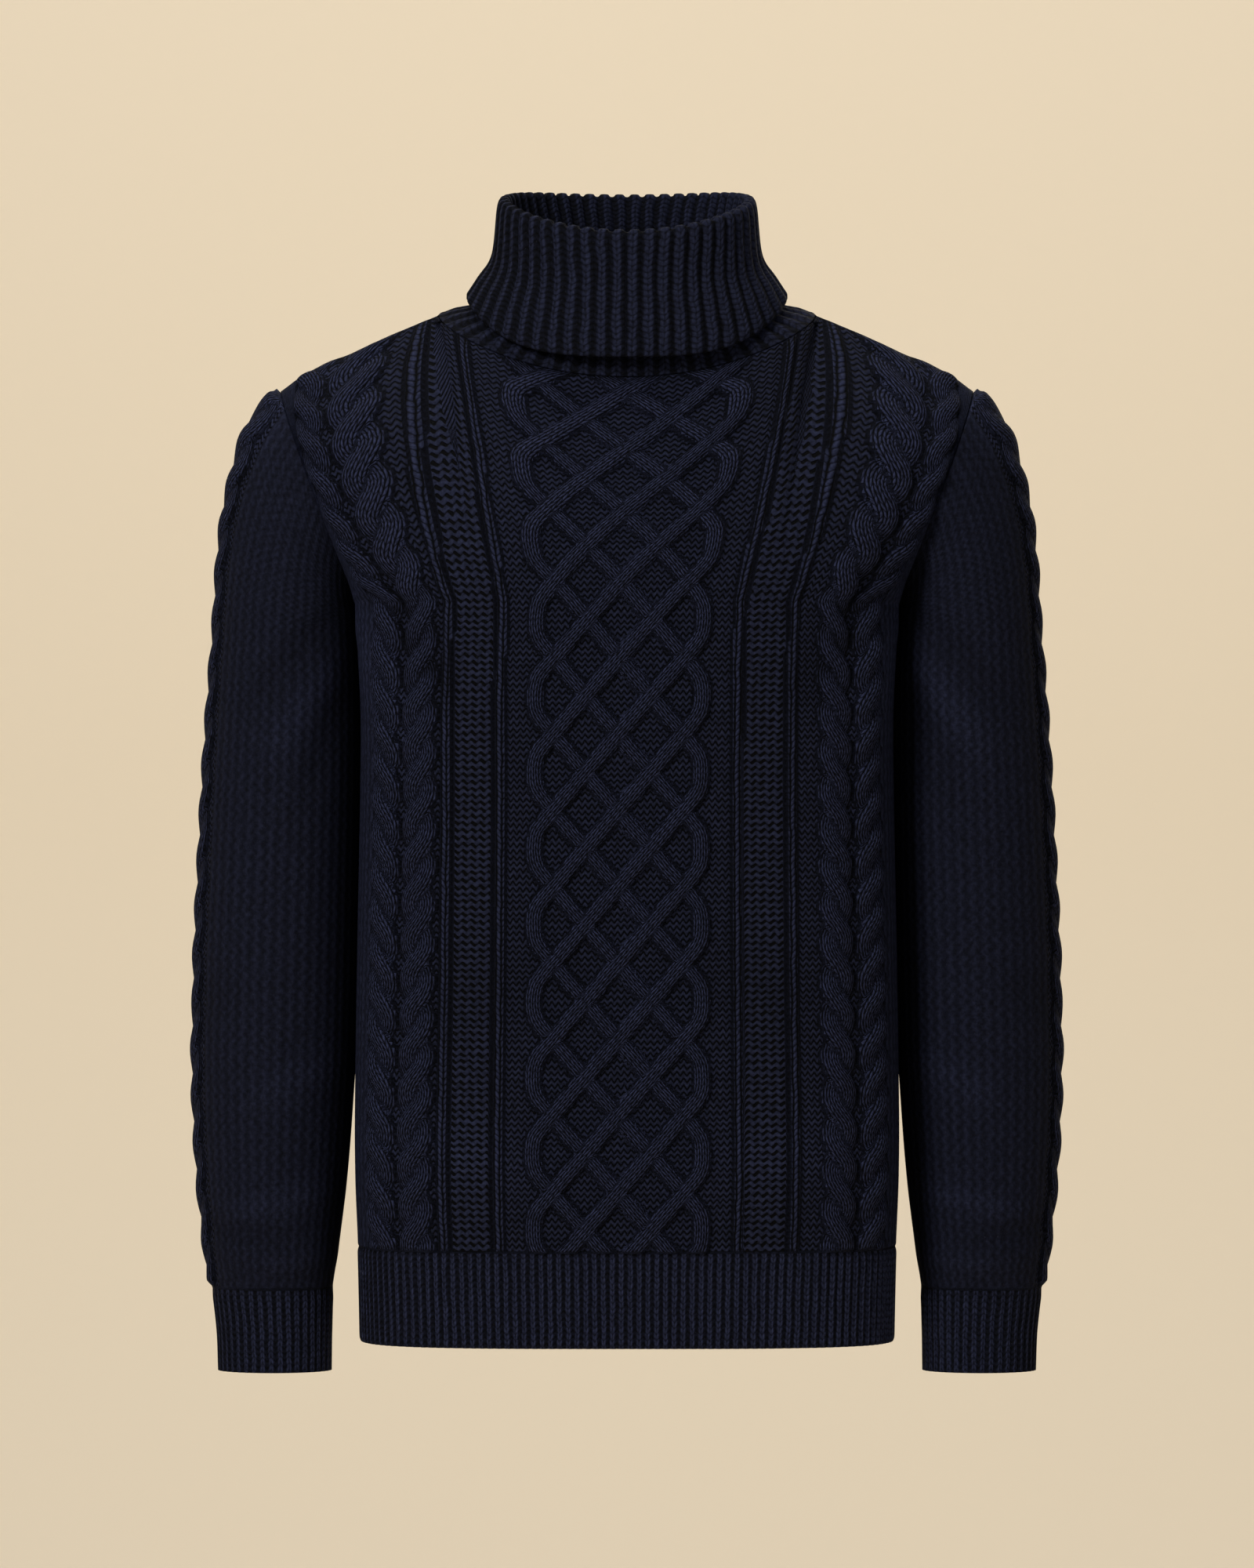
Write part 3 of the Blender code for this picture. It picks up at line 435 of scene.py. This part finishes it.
def grid_normals(surface, ring):
    """Unit normals of a grid of points; ring says that its columns close on themselves."""
    if ring:
        across = np.roll(surface, -1, axis=1) - np.roll(surface, 1, axis=1)
    else:
        across = np.gradient(surface, axis=1)
    along = np.gradient(surface, axis=0)
    return unit_rows(np.cross(across, along))


# ---- relief: height in mm, stitch coordinates and kind of knit ----
class Knit:
    """Height and stitches over a grid; a strand wins where it stands highest.

    stocking, net and moss say how much a point is of each knit. With none of them it is
    purl, and with net and moss together it is rib.
    """

    def __init__(self, shape):
        self.height = np.zeros(shape)
        self.wale = np.zeros(shape)
        self.course = np.zeros(shape)
        self.stocking = np.zeros(shape)
        self.net = np.zeros(shape)
        self.moss = np.zeros(shape)
        # mm added to the relief that drives the painted shade; below 0 paints a piece darker
        self.tone = 0.0

    def ground(self, wale, course):
        self.wale[:] = wale
        self.course[:] = course

    def layers(self):
        stitch = np.stack((self.wale, self.course, self.height + self.tone), axis=2)
        kind = np.stack((self.stocking, self.net, self.moss), axis=2)
        return stitch, kind

    def area(self, where, height, wale, course, stocking=0.0, net=0.0, moss=0.0):
        self.height = np.where(where, height, self.height)
        self.wale = np.where(where, wale, self.wale)
        self.course = np.where(where, course, self.course)
        self.stocking = np.where(where, stocking, self.stocking)
        self.net = np.where(where, net, self.net)
        self.moss = np.where(where, moss, self.moss)

    def strand(self, offset, slope, radius, rise, course, wale_width):
        """A raised strand; offset is across the panel and slope its lean."""
        lean = np.sqrt(1 + slope**2)
        away = offset / lean
        inside = np.clip(1 - (away / radius) ** 2, 0.0, 1.0)
        height = rise * inside**STRAND_FULLNESS
        along = course + offset * slope / lean**2 / COURSE
        wins = (inside > 0) & (height > self.height)
        self.area(wins, height, away / wale_width + 0.5, along, stocking=1.0)


def swinging_cable(knit, across, turns, direction, pitch, fullness=1.0):
    """Two strands that cross once in each turn; direction is that of the strand on top."""
    for strand in (0.0, 1.0):
        phase = math.pi * (turns + strand)
        offset = across - CABLE_SWING * np.sin(phase)
        pace = np.cos(phase)
        slope = CABLE_SWING * math.pi * pace / pitch
        rise = (CABLE_RISE + CABLE_CROSSING_RISE * direction * pace) * fullness
        course = turns * 2 * COURSES_A_ROW
        knit.strand(offset, slope, CABLE_RADIUS, rise, course, CABLE_WALE)


def lattice_ropes(knit, wale, turns):
    """Six ropes that zigzag across the middle; those rising to +X pass over."""
    for rope in range(ROPES):
        step = (turns + 2 * rope) % (2.0 * ROPES)
        rising = step < ROPES
        place = np.where(rising, step - ROPES / 2, ROPES * 3 / 2 - step)
        limit = LATTICE_TURN * LATTICE_STEP
        room = (limit - np.abs(place) * LATTICE_STEP) / TURN_SOFTNESS
        centre = np.sign(place) * (limit - TURN_SOFTNESS * np.logaddexp(0.0, room))
        bend = 1 / (1 + np.exp(-room))
        slope = np.where(rising, 1.0, -1.0) * LATTICE_STEP / (2 * HALF_ROW) * bend
        dip = np.cos(math.pi * turns) ** 6
        rise = np.where(rising, ROPE_RISE, ROPE_RISE - ROPE_UNDER - ROPE_DIP * dip)
        rise = rise * bend + ROPE_RISE * (1 - bend)
        course = turns * 2 * COURSES_A_ROW
        knit.strand(wale - centre, slope, ROPE_RADIUS, rise, course, ROPE_WALE)


def rib_profile(phase):
    """0 in the valley and 1 on the ridge of a rib; a ridge's middle is at 0.5."""
    from_middle = np.abs(phase % 1.0 - 0.5)
    return smooth_step(RIB_VALLEY_AT, RIB_RIDGE_AT, from_middle)


def panel_knit(wales, rows, shift):
    """The stitches of the front or back; its middle bands lie shift mm towards -X."""
    wale, row = np.meshgrid(wales, rows)
    away = np.abs(wale)
    middle = wale + shift * smooth_step(SHIFT_GONE_ROW, SHIFT_FULL_ROW, row)
    from_centre = np.abs(middle)
    turns = row / 2
    course = row * COURSES_A_ROW
    knit = Knit(wale.shape)
    knit.ground(wale / PURL_WALE, course)
    net_wale = (from_centre - NET_FROM) / NET_WALE
    net = (from_centre > NET_FROM) & (from_centre < NET_TO)
    knit.area(net, NET_RISE, net_wale, row * HALF_ROW / NET_COURSE, net=1.0)
    for ridge in RIDGES_AT:
        beside = from_centre - ridge
        crown = RIDGE_RISE * np.clip(1 - (beside / RIDGE_HALF) ** 4, 0.0, 1.0)
        gutter = np.abs(beside) < RIDGE_GUTTER_HALF
        knit.area(gutter, RIDGE_GUTTER, wale / PURL_WALE, course)
        chains = beside / (2 * RIDGE_HALF) + 0.5
        knit.area(np.abs(beside) < RIDGE_HALF, crown, chains, course, stocking=1.0)
    moss_wale = away / MOSS_WALE
    bumps = SIDE_MOSS_RISE + SIDE_MOSS_WAVE * np.cos(math.pi * moss_wale)
    knit.area(away > CABLES_END, bumps, moss_wale, course, moss=1.0)
    swinging_cable(knit, away - INNER_CABLE_AT, turns, -1.0, 2 * HALF_ROW)
    outer = OUTER_CABLE_SQUEEZE * (away - OUTER_CABLE_AT)
    swinging_cable(knit, outer, turns, 1.0, 2 * HALF_ROW)
    lattice_ropes(knit, middle, turns)
    hem_row = (HEM_TOP_Z - FIRST_CROSS_Z) / HALF_ROW
    fade = smooth_step(hem_row - 0.1, hem_row + 0.06, row)
    fade = fade * smooth_step(TOP_ROW + 0.15, TOP_ROW - 0.8, row)
    edge = smooth_step(SIDE_WALE, SIDE_WALE - 5.0, away)
    knit.height = knit.height * fade * edge
    phase = (wale / SIDE_WALE + 1) * HEM_RIBS
    hem = row < hem_row + 0.15
    rib = rib_profile(phase)
    rib_fade = smooth_step(hem_row + 0.3, hem_row - 0.2, row) * edge
    low_edge = (HEM_BOTTOM_Z - FIRST_CROSS_Z) / HALF_ROW
    edge_rise = (1 - HEM_EDGE_SHARE) * smooth_step(low_edge, low_edge + 0.2, row)
    rib_fade = rib_fade * (HEM_EDGE_SHARE + edge_rise)
    knit.area(hem, HEM_RIB_RISE * rib * rib_fade, phase, course, net=1.0, moss=1.0)
    return knit


def sleeve_knit(turns, levels):
    turn, level = np.meshgrid(turns, levels)
    run = np.where(level <= 1.0, level * CAP_RUN, CAP_RUN + level - 1.0)
    knit = Knit(turn.shape)
    bumps = SLEEVE_MOSS_WAVE * np.cos(2 * math.pi * SLEEVE_RIBS * turn)
    everywhere = np.full(turn.shape, True)
    knit.area(everywhere, bumps, turn * 2 * SLEEVE_RIBS, run / COURSE, moss=1.0)
    across = ((turn - SLEEVE_CABLE_AT + 0.5) % 1.0 - 0.5) * SLEEVE_ROUND
    gutter = np.abs(across) < SLEEVE_GUTTER_HALF
    knit.area(gutter, SLEEVE_GUTTER, across / PURL_WALE, run / COURSE)
    pitch = SLEEVE_CABLE_PITCH
    swinging_cable(knit, across, -run / pitch, 1.0, pitch, SLEEVE_CABLE_FULLNESS)
    cuff_run = CAP_RUN + SLEEVE_TOP_Z - CUFF_TOP_Z
    fade = smooth_step(0.0, 5.0, run) * smooth_step(cuff_run + 1.0, cuff_run - 6.0, run)
    knit.height = knit.height * fade
    phase = turn * 2 * CUFF_RIBS + 0.5
    cuff = run > cuff_run - 1.0
    rib = rib_profile(phase)
    rib_fade = smooth_step(cuff_run - 3.0, cuff_run + 9.0, run)
    knit.area(cuff, rib * rib_fade, phase, run / COURSE, net=1.0, moss=1.0)
    return knit


def collar_knit(angles, places, run):
    angle = np.tile(angles, (len(places), 1))
    course = np.repeat((run / COURSE)[:, None], len(angles), axis=1)
    knit = Knit(angle.shape)
    phase = angle / (2 * math.pi) * COLLAR_RIBS
    rib = rib_profile(phase)
    ends = smooth_step(-2.0, 5.0, run) * smooth_step(run[-1], run[-1] - 8.0, run)
    height = COLLAR_RIB_RISE * rib * ends[:, None]
    everywhere = np.full(angle.shape, True)
    knit.area(everywhere, height, phase, course, net=1.0, moss=1.0)
    # painted shade: the collar's shading relief is lowered so the collar is painted darker
    knit.tone = COLLAR_PAINTED_SHADE
    return knit


# ---- soft folds, listed one by one ----
FOLD_COLUMNS = ("from_x", "from_z", "to_x", "to_z", "width", "depth")
SLEEVE_FOLDS = (
    (228.0, -38.0, 262.0, -95.0, 16.0, 3.0),
    (196.0, -205.0, 250.0, -265.0, 9.0, -1.6),
    (192.0, -232.0, 236.0, -300.0, 11.0, 1.2),
    (190.0, -262.0, 216.0, -330.0, 9.0, -1.1),
    (256.0, -452.0, 292.0, -470.0, 12.0, -0.8),
    (190.0, -500.0, 246.0, -530.0, 13.0, 0.9),
    (200.0, -590.0, 262.0, -604.0, 9.0, 1.1),
    (226.0, -622.0, 284.0, -614.0, 8.0, -1.1),
    (200.0, -634.0, 246.0, -640.0, 7.0, 0.9),
)
BODY_FOLDS = (
    (192.0, -32.0, 226.0, -50.0, 10.0, 2.2),
    (181.0, -188.0, 181.0, -222.0, 6.0, 1.5),
    (158.0, -190.0, 120.0, -262.0, 14.0, -2.2),
    (172.0, -214.0, 150.0, -300.0, 12.0, 2.0),
    (60.0, -575.0, 165.0, -545.0, 22.0, 0.8),
    (20.0, -440.0, 150.0, -470.0, 26.0, -0.7),
)


def fold_height(surface, folds):
    """Sum of soft ridges and troughs, each along a short line seen from the front."""
    x = np.abs(surface[:, :, 0])
    z = surface[:, :, 2]
    total = np.zeros(x.shape)
    for values in folds:
        fold = row_values(FOLD_COLUMNS, values)
        start = np.array((fold["from_x"], fold["from_z"]))
        line = np.array((fold["to_x"], fold["to_z"])) - start
        length = np.linalg.norm(line)
        direction = line / length
        along = ((x - start[0]) * direction[0] + (z - start[1]) * direction[1]) / length
        across = (x - start[0]) * direction[1] - (z - start[1]) * direction[0]
        ends = smooth_step(-0.25, 0.3, along) * smooth_step(1.25, 0.7, along)
        total += fold["depth"] * np.exp(-((across / fold["width"]) ** 2)) * ends
    return total


# ---- mesh making ----
def zip_edges(low, high):
    """Triangles between two edges of different counts that start and end together."""
    faces = []
    i = 0
    j = 0
    while i < len(low) - 1 or j < len(high) - 1:
        low_next = (i + 1) / (len(low) - 1)
        high_next = (j + 1) / (len(high) - 1)
        if j == len(high) - 1 or (i < len(low) - 1 and low_next <= high_next):
            faces.append((low[i], low[i + 1], high[j]))
            i += 1
        else:
            faces.append((low[i], high[j + 1], high[j]))
            j += 1
    return faces


def grid_faces(numbers, flip):
    a = numbers[:-1, :-1].ravel()
    b = numbers[:-1, 1:].ravel()
    c = numbers[1:, 1:].ravel()
    d = numbers[1:, :-1].ravel()
    order = (a, d, c, b) if flip else (a, b, c, d)
    return np.stack(order, axis=1).tolist()


def keep_lines(count):
    kept = list(range(0, count, INNER_EVERY))
    if kept[-1] != count - 1:
        kept.append(count - 1)
    return kept


def closed_shell(name, outer, inner, outer_knit, inner_knit, ring, flip):
    """A closed shell from two grids, outer and inner, and the cut edges between them."""
    outer_numbers = np.arange(outer[:, :, 0].size).reshape(outer.shape[:2])
    inner_numbers = np.arange(inner[:, :, 0].size).reshape(inner.shape[:2])
    inner_numbers = inner_numbers + outer_numbers.size
    if ring:
        outer_numbers = np.hstack((outer_numbers, outer_numbers[:, :1]))
        inner_numbers = np.hstack((inner_numbers, inner_numbers[:, :1]))
    faces = grid_faces(outer_numbers, flip) + grid_faces(inner_numbers, not flip)
    rims = [(outer_numbers[0], inner_numbers[0], True)]
    rims.append((outer_numbers[-1], inner_numbers[-1], False))
    if not ring:
        rims.append((outer_numbers[:, 0], inner_numbers[:, 0], False))
        rims.append((outer_numbers[:, -1], inner_numbers[:, -1], True))
    for low, high, turned in rims:
        for face in zip_edges(low.tolist(), high.tolist()):
            faces.append(face[::-1] if turned != flip else face)
    points = np.vstack((outer.reshape(-1, 3), inner.reshape(-1, 3))) * MM
    mesh = bpy.data.meshes.new(name)
    mesh.from_pydata(points.tolist(), [], faces)
    for key, low, high in zip(KNIT_LAYERS, outer_knit, inner_knit):
        values = np.vstack((low.reshape(-1, 3), high.reshape(-1, 3)))
        layer = mesh.attributes.new(key, "FLOAT_VECTOR", "POINT")
        layer.data.foreach_set("vector", values.astype(np.float32).ravel())
    mesh.shade_smooth()
    mesh.update()
    piece = bpy.data.objects.new(name, mesh)
    bpy.context.scene.collection.objects.link(piece)
    return piece


def knitted_shell(name, surface, normals, knit, ring, flip, mirror):
    """The relief outside over a plain face, WALL inside it, that keeps fewer grid lines."""
    lines = keep_lines(surface.shape[0])
    stops = keep_lines(surface.shape[1])
    pick = np.ix_(lines, stops)
    outer = surface + normals * knit.height[:, :, None]
    inner = (surface - normals * WALL)[pick]
    layers = knit.layers()
    inner_layers = (layers[0][pick], layers[1][pick] * 0.0)
    if mirror:
        outer[:, :, 0] = -outer[:, :, 0]
        inner[:, :, 0] = -inner[:, :, 0]
    return closed_shell(name, outer, inner, layers, inner_layers, ring, flip != mirror)


def turned_outward(surface, inside, ring):
    """Unit normals that point away from inside, and whether the grid runs against them."""
    normals = grid_normals(surface, ring)
    middle = (surface.shape[0] // 2, surface.shape[1] // 2)
    against = np.dot(normals[middle], surface[middle] - np.array(inside)) < 0
    return (-normals if against else normals), against


def make_panel(name, side):
    columns = int(round(2 * SIDE_WALE / GRAIN))
    wales = np.linspace(-SIDE_WALE, SIDE_WALE, columns + 1)
    low_row = (HEM_BOTTOM_Z - FIRST_CROSS_Z) / HALF_ROW
    lines = int(round((TOP_ROW - low_row) * HALF_ROW / GRAIN))
    rows = np.linspace(low_row, TOP_ROW, lines + 1)
    surface = panel_surface(side, wales, rows)
    normals, against = turned_outward(surface, (0.0, 0.0, -400.0), False)
    knit = panel_knit(wales, rows, PATTERN_SHIFT if side < 0 else 0.0)
    knit.height = knit.height + fold_height(surface, BODY_FOLDS)
    return knitted_shell(name, surface, normals, knit, False, against, False)


def make_sleeve(name, mirror):
    turns = np.arange(0.0, 1.0, GRAIN / SLEEVE_ROUND)
    cap = np.linspace(0.0, 1.0, int(round(CAP_RUN / GRAIN)) + 1)
    last = 1.0 + SLEEVE_TOP_Z - CUFF_BOTTOM_Z
    levels = np.concatenate((cap, np.arange(1.0 + GRAIN, last, GRAIN), [last]))
    surface = sleeve_surface(turns, levels)
    normals, against = turned_outward(surface, (235.0, 0.0, -450.0), True)
    knit = sleeve_knit(turns, levels)
    knit.height = knit.height + fold_height(surface, SLEEVE_FOLDS)
    return knitted_shell(name, surface, normals, knit, True, against, mirror)


def profile_run(surface):
    """Length in mm along the first column of a grid."""
    steps = np.linalg.norm(np.diff(surface[:, 0], axis=0), axis=1)
    return np.concatenate(([0.0], np.cumsum(steps)))


def make_collar(name):
    angles = np.arange(COLLAR_POINTS) / COLLAR_POINTS * 2 * math.pi
    seen_at = np.linspace(0.0, len(COLLAR_SEEN) - 1.0, COLLAR_LINES)
    hidden_at = np.linspace(0.0, len(COLLAR_HIDDEN) - 1.0, COLLAR_LINES)
    seen = collar_surface(COLLAR_SEEN, angles, seen_at)
    hidden = collar_surface(COLLAR_HIDDEN, angles, hidden_at)
    knit = collar_knit(angles, seen_at, profile_run(seen))
    foot = collar_knit(angles, hidden_at, profile_run(hidden))
    foot.height = foot.height * smooth_step(5.0, 7.0, hidden_at)[:, None]
    seen = seen + grid_normals(seen, True) * knit.height[:, :, None]
    hidden = hidden - grid_normals(hidden, True) * foot.height[:, :, None]
    return closed_shell(name, seen, hidden, knit.layers(), foot.layers(), True, False)


# ---- the yarn ----
class Nodes:
    """Short names for making shader nodes."""

    def __init__(self, name):
        self.material = bpy.data.materials.new(name)
        self.material.use_nodes = True
        self.tree = self.material.node_tree
        self.tree.nodes.clear()

    def node(self, kind, inputs=(), **settings):
        made = self.tree.nodes.new(kind)
        for key, value in settings.items():
            setattr(made, key, value)
        for key, value in dict(inputs).items():
            self.feed(made.inputs[key], value)
        return made

    def feed(self, socket, value):
        if isinstance(value, bpy.types.NodeSocket):
            self.tree.links.new(value, socket)
        else:
            socket.default_value = value

    def math(self, operation, first, second=0.0, third=0.0):
        inputs = {0: first, 1: second, 2: third}
        return self.node("ShaderNodeMath", inputs, operation=operation).outputs[0]

    def mix(self, factor, first, second):
        inputs = {"Factor": factor, "A": first, "B": second}
        return self.node("ShaderNodeMix", inputs, data_type="FLOAT").outputs[0]

    def split(self, vector):
        return self.node("ShaderNodeSeparateXYZ", {0: vector}).outputs

    def attribute(self, name):
        return self.node("ShaderNodeAttribute", attribute_name=name).outputs["Vector"]

    def noise(self, vector, scale, detail, roughness=0.6):
        inputs = {"Vector": vector, "Scale": scale, "Detail": detail, "Roughness": roughness}
        return self.node("ShaderNodeTexNoise", inputs).outputs[0]

    def step(self, value, low, high, start=0.0, end=1.0):
        inputs = {"Value": value, "From Min": low, "From Max": high}
        inputs.update({"To Min": start, "To Max": end})
        return self.node("ShaderNodeMapRange", inputs, interpolation_type="SMOOTHSTEP").outputs[0]


def yarn_material():
    n = Nodes("navy_yarn")
    wale, course, relief = n.split(n.attribute("stitch"))
    stocking, net, moss = n.split(n.attribute("knit_kind"))
    place = n.node("ShaderNodeTexCoord").outputs["Object"]
    course_noise = n.noise(place, COURSE_SWAY_SCALE, 2.0)
    course = n.math("MULTIPLY_ADD", course_noise, COURSE_SWAY, course)
    wale_noise = n.noise(place, WALE_SWAY_SCALE, 1.0)
    wale = n.math("MULTIPLY_ADD", wale_noise, WALE_SWAY, wale)
    beside = n.math("SUBTRACT", n.math("FRACT", wale), 0.5)
    from_middle = n.math("ABSOLUTE", beside)
    wave = n.math("SINE", n.math("MULTIPLY", wale, 2 * math.pi))

    # stocking stitch: two legs to a wale, each a row of slanting loops
    leg = n.math("SINE", n.math("MULTIPLY", from_middle, 2 * math.pi))
    leg = n.math("POWER", n.math("ABSOLUTE", leg), 0.9)
    slant = n.math("MULTIPLY_ADD", from_middle, LOOP_SLANT, course)
    loop = n.math("ABSOLUTE", n.math("SINE", n.math("MULTIPLY", slant, math.pi)))
    loop = n.math("POWER", loop, 0.7)
    knit_stitch = n.math("MULTIPLY", leg, n.math("MULTIPLY_ADD", loop, 0.75, 0.35))

    # purl ground: wavy bars
    bar = n.math("MULTIPLY_ADD", wave, PURL_WAVE, course)
    bar = n.math("ABSOLUTE", n.math("SINE", n.math("MULTIPLY", bar, math.pi)))
    purl = n.math("MULTIPLY_ADD", n.math("POWER", bar, 0.8), 1.05, -0.1)

    # moss of the sleeves and sides: small bumps in turn, gathered in columns
    grain = n.math("SINE", n.math("MULTIPLY", wale, math.pi))
    grain = n.math("MULTIPLY", grain, n.math("SINE", n.math("MULTIPLY", course, math.pi)))
    column = n.math("COSINE", n.math("MULTIPLY", wale, math.pi))
    columns = n.math("MULTIPLY_ADD", column, MOSS_COLUMN, MOSS_LEVEL)
    moss_bumps = n.math("MULTIPLY_ADD", grain, MOSS_GRAIN, columns)

    # net: wavy bars with a small hole between them in each wale
    bar_at = n.math("MULTIPLY_ADD", wave, NET_WAVE, course)
    above = n.math("SUBTRACT", n.math("FRACT", bar_at), 0.5)
    wide = n.math("MULTIPLY", n.math("MULTIPLY", beside, beside), NET_HOLE_ACROSS)
    tall = n.math("MULTIPLY", n.math("MULTIPLY", above, above), NET_HOLE_ALONG)
    hole = n.step(n.math("ADD", wide, tall), 0.35, 1.3)
    bars = n.math("ABSOLUTE", n.math("SINE", n.math("MULTIPLY", above, math.pi)))
    bars = n.math("MULTIPLY_ADD", n.math("POWER", bars, 0.6), 0.62, 0.25)
    net_bars = n.math("MULTIPLY", hole, bars)

    # ribs: a wale of slanting loops on the ridge and a low valley on each side, painted darker as
    # shade
    ridge = n.step(from_middle, 0.2, 0.48, 0.9, 0.42)
    rib_leg = n.math("MULTIPLY", from_middle, 3 * math.pi)
    rib_leg = n.math("ABSOLUTE", n.math("SINE", rib_leg))
    rib_leg = n.math("MULTIPLY_ADD", rib_leg, 0.35, 0.6)
    rib_loop = n.math("MULTIPLY_ADD", loop, 0.5, 0.55)
    ribs = n.math("MULTIPLY", ridge, n.math("MULTIPLY", rib_leg, rib_loop))

    flat_stitch = n.mix(net, n.mix(stocking, purl, knit_stitch), net_bars)
    height = n.mix(moss, flat_stitch, n.mix(net, moss_bumps, ribs))

    # fibres: fine twisted strands and stray hairs
    along = n.math("MULTIPLY", course, FIBRE_STRETCH)
    strand = n.node("ShaderNodeCombineXYZ", {0: wale, 1: along, 2: 0.0})
    fibre = n.noise(strand.outputs[0], FIBRE_SCALE, 4.0, 0.7)
    fuzz = n.noise(place, FUZZ_SCALE, 3.0, 0.75)
    height = n.math("MULTIPLY_ADD", fibre, FIBRE_HEIGHT, height)
    height = n.math("MULTIPLY_ADD", fuzz, FUZZ_HEIGHT, height)
    bump_inputs = {"Height": height, "Strength": 1.0, "Distance": STITCH_DEPTH * MM}
    bump = n.node("ShaderNodeBump", bump_inputs)

    # painted shade and highlight: deep stitches and the low ground between the ropes are painted
    # darker, raised stitches and ropes lighter; a few pale fibres are the yarn's own
    # painted shade in stitch gaps and painted highlight on stitch tops, stepped from the bump
    # height
    depth = n.step(height, 0.42, 1.22, 0.05, 2.3)
    # painted shade on the low relief between ropes and in gutters, slight painted highlight on
    # the high ropes
    relief_shade = n.step(relief, -0.9, 3.2, 0.48, 1.12)
    shade = n.math("MULTIPLY", depth, relief_shade)
    heather = n.step(n.noise(place, HEATHER_SCALE, 4.0, 0.7), 0.32, 0.68, 0.6, 1.5)
    shade = n.math("MULTIPLY", shade, heather)
    fleck = n.step(n.noise(place, FLECK_SCALE, 2.0, 0.6), 0.66, 0.76)
    dark = n.node("ShaderNodeRGB").outputs[0]
    dark.default_value = (*YARN_COLOUR, 1.0)
    pale = n.node("ShaderNodeRGB").outputs[0]
    pale.default_value = (*FLECK_COLOUR, 1.0)
    scaled = {0: dark, "Scale": shade}
    lit = n.node("ShaderNodeVectorMath", scaled, operation="SCALE").outputs[0]
    colour = n.node("ShaderNodeMix", data_type="RGBA")
    n.feed(colour.inputs[0], n.math("MULTIPLY", fleck, FLECK_SHARE))
    n.feed(colour.inputs[6], lit)
    n.feed(colour.inputs[7], pale)
    shader = n.node("ShaderNodeBsdfPrincipled", {
        "Base Color": colour.outputs[2],
        "Roughness": ROUGHNESS,
        "Specular IOR Level": SPECULAR,
        "Normal": bump.outputs[0],
    })
    out = n.node("ShaderNodeOutputMaterial")
    n.tree.links.new(shader.outputs[0], out.inputs[0])
    return n.material


def plain_material(name, colour):
    n = Nodes(name)
    shader = n.node("ShaderNodeBsdfDiffuse", {"Color": (*colour, 1.0)})
    out = n.node("ShaderNodeOutputMaterial")
    n.tree.links.new(shader.outputs[0], out.inputs[0])
    return n.material


# ---- studio ----
def area_light(name, location, aim, size, power, colour):
    lamp = bpy.data.lights.new(name, "AREA")
    lamp.shape = "RECTANGLE"
    lamp.size = size[0]
    lamp.size_y = size[1]
    lamp.energy = power
    lamp.color = colour
    thing = bpy.data.objects.new(name, lamp)
    thing.location = location
    thing.rotation_euler = (Vector(aim) - Vector(location)).to_track_quat("-Z", "Y").to_euler()
    bpy.context.scene.collection.objects.link(thing)
    return thing


def make_camera():
    data = bpy.data.cameras.new("camera")
    data.sensor_width = 36.0
    data.lens = CAMERA_LENS
    camera = bpy.data.objects.new("camera", data)
    camera.location = (0.0, -CAMERA_AWAY, CAMERA_Z)
    camera.rotation_euler = (math.pi / 2, 0.0, 0.0)
    bpy.context.scene.collection.objects.link(camera)
    bpy.context.scene.camera = camera


def make_sweep():
    """Floor and wall in one, joined by a quarter round."""
    profile = [(-BACKDROP_HALF, FLOOR_Z)]
    for k in range(25):
        angle = math.pi / 2 * k / 24
        y = WALL_Y - SWEEP_ROUND + SWEEP_ROUND * math.sin(angle)
        z = FLOOR_Z + SWEEP_ROUND - SWEEP_ROUND * math.cos(angle)
        profile.append((y, z))
    profile.append((WALL_Y, BACKDROP_HALF))
    points = []
    for y, z in profile:
        points.append((-BACKDROP_HALF, y, z))
        points.append((BACKDROP_HALF, y, z))
    faces = [(2 * k, 2 * k + 1, 2 * k + 3, 2 * k + 2) for k in range(len(profile) - 1)]
    mesh = bpy.data.meshes.new("sweep")
    mesh.from_pydata(points, [], faces)
    mesh.shade_smooth()
    sweep = bpy.data.objects.new("sweep", mesh)
    sweep.data.materials.append(plain_material("sweep_paper", SWEEP_COLOUR))
    bpy.context.scene.collection.objects.link(sweep)


def make_studio():
    make_camera()
    make_sweep()
    world = bpy.data.worlds.new("studio")
    world.use_nodes = True
    background = world.node_tree.nodes["Background"]
    background.inputs[0].default_value = (*WORLD_COLOUR, 1.0)
    background.inputs[1].default_value = WORLD_STRENGTH
    bpy.context.scene.world = world
    for light in LIGHTS:
        area_light(*light)
    bpy.context.scene.view_settings.view_transform = "Standard"


# ---- putting the sweater together ----
yarn = yarn_material()
pieces = {
    "front": make_panel("front_knit", -1),
    "back": make_panel("back_knit", 1),
    "sleeve_left": make_sleeve("sleeve_left_knit", False),
    "sleeve_right": make_sleeve("sleeve_right_knit", True),
    "collar": make_collar("collar_knit"),
}
for node, piece in pieces.items():
    piece.data.materials.append(yarn)
    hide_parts(node)
    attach(piece, "root")

make_studio()
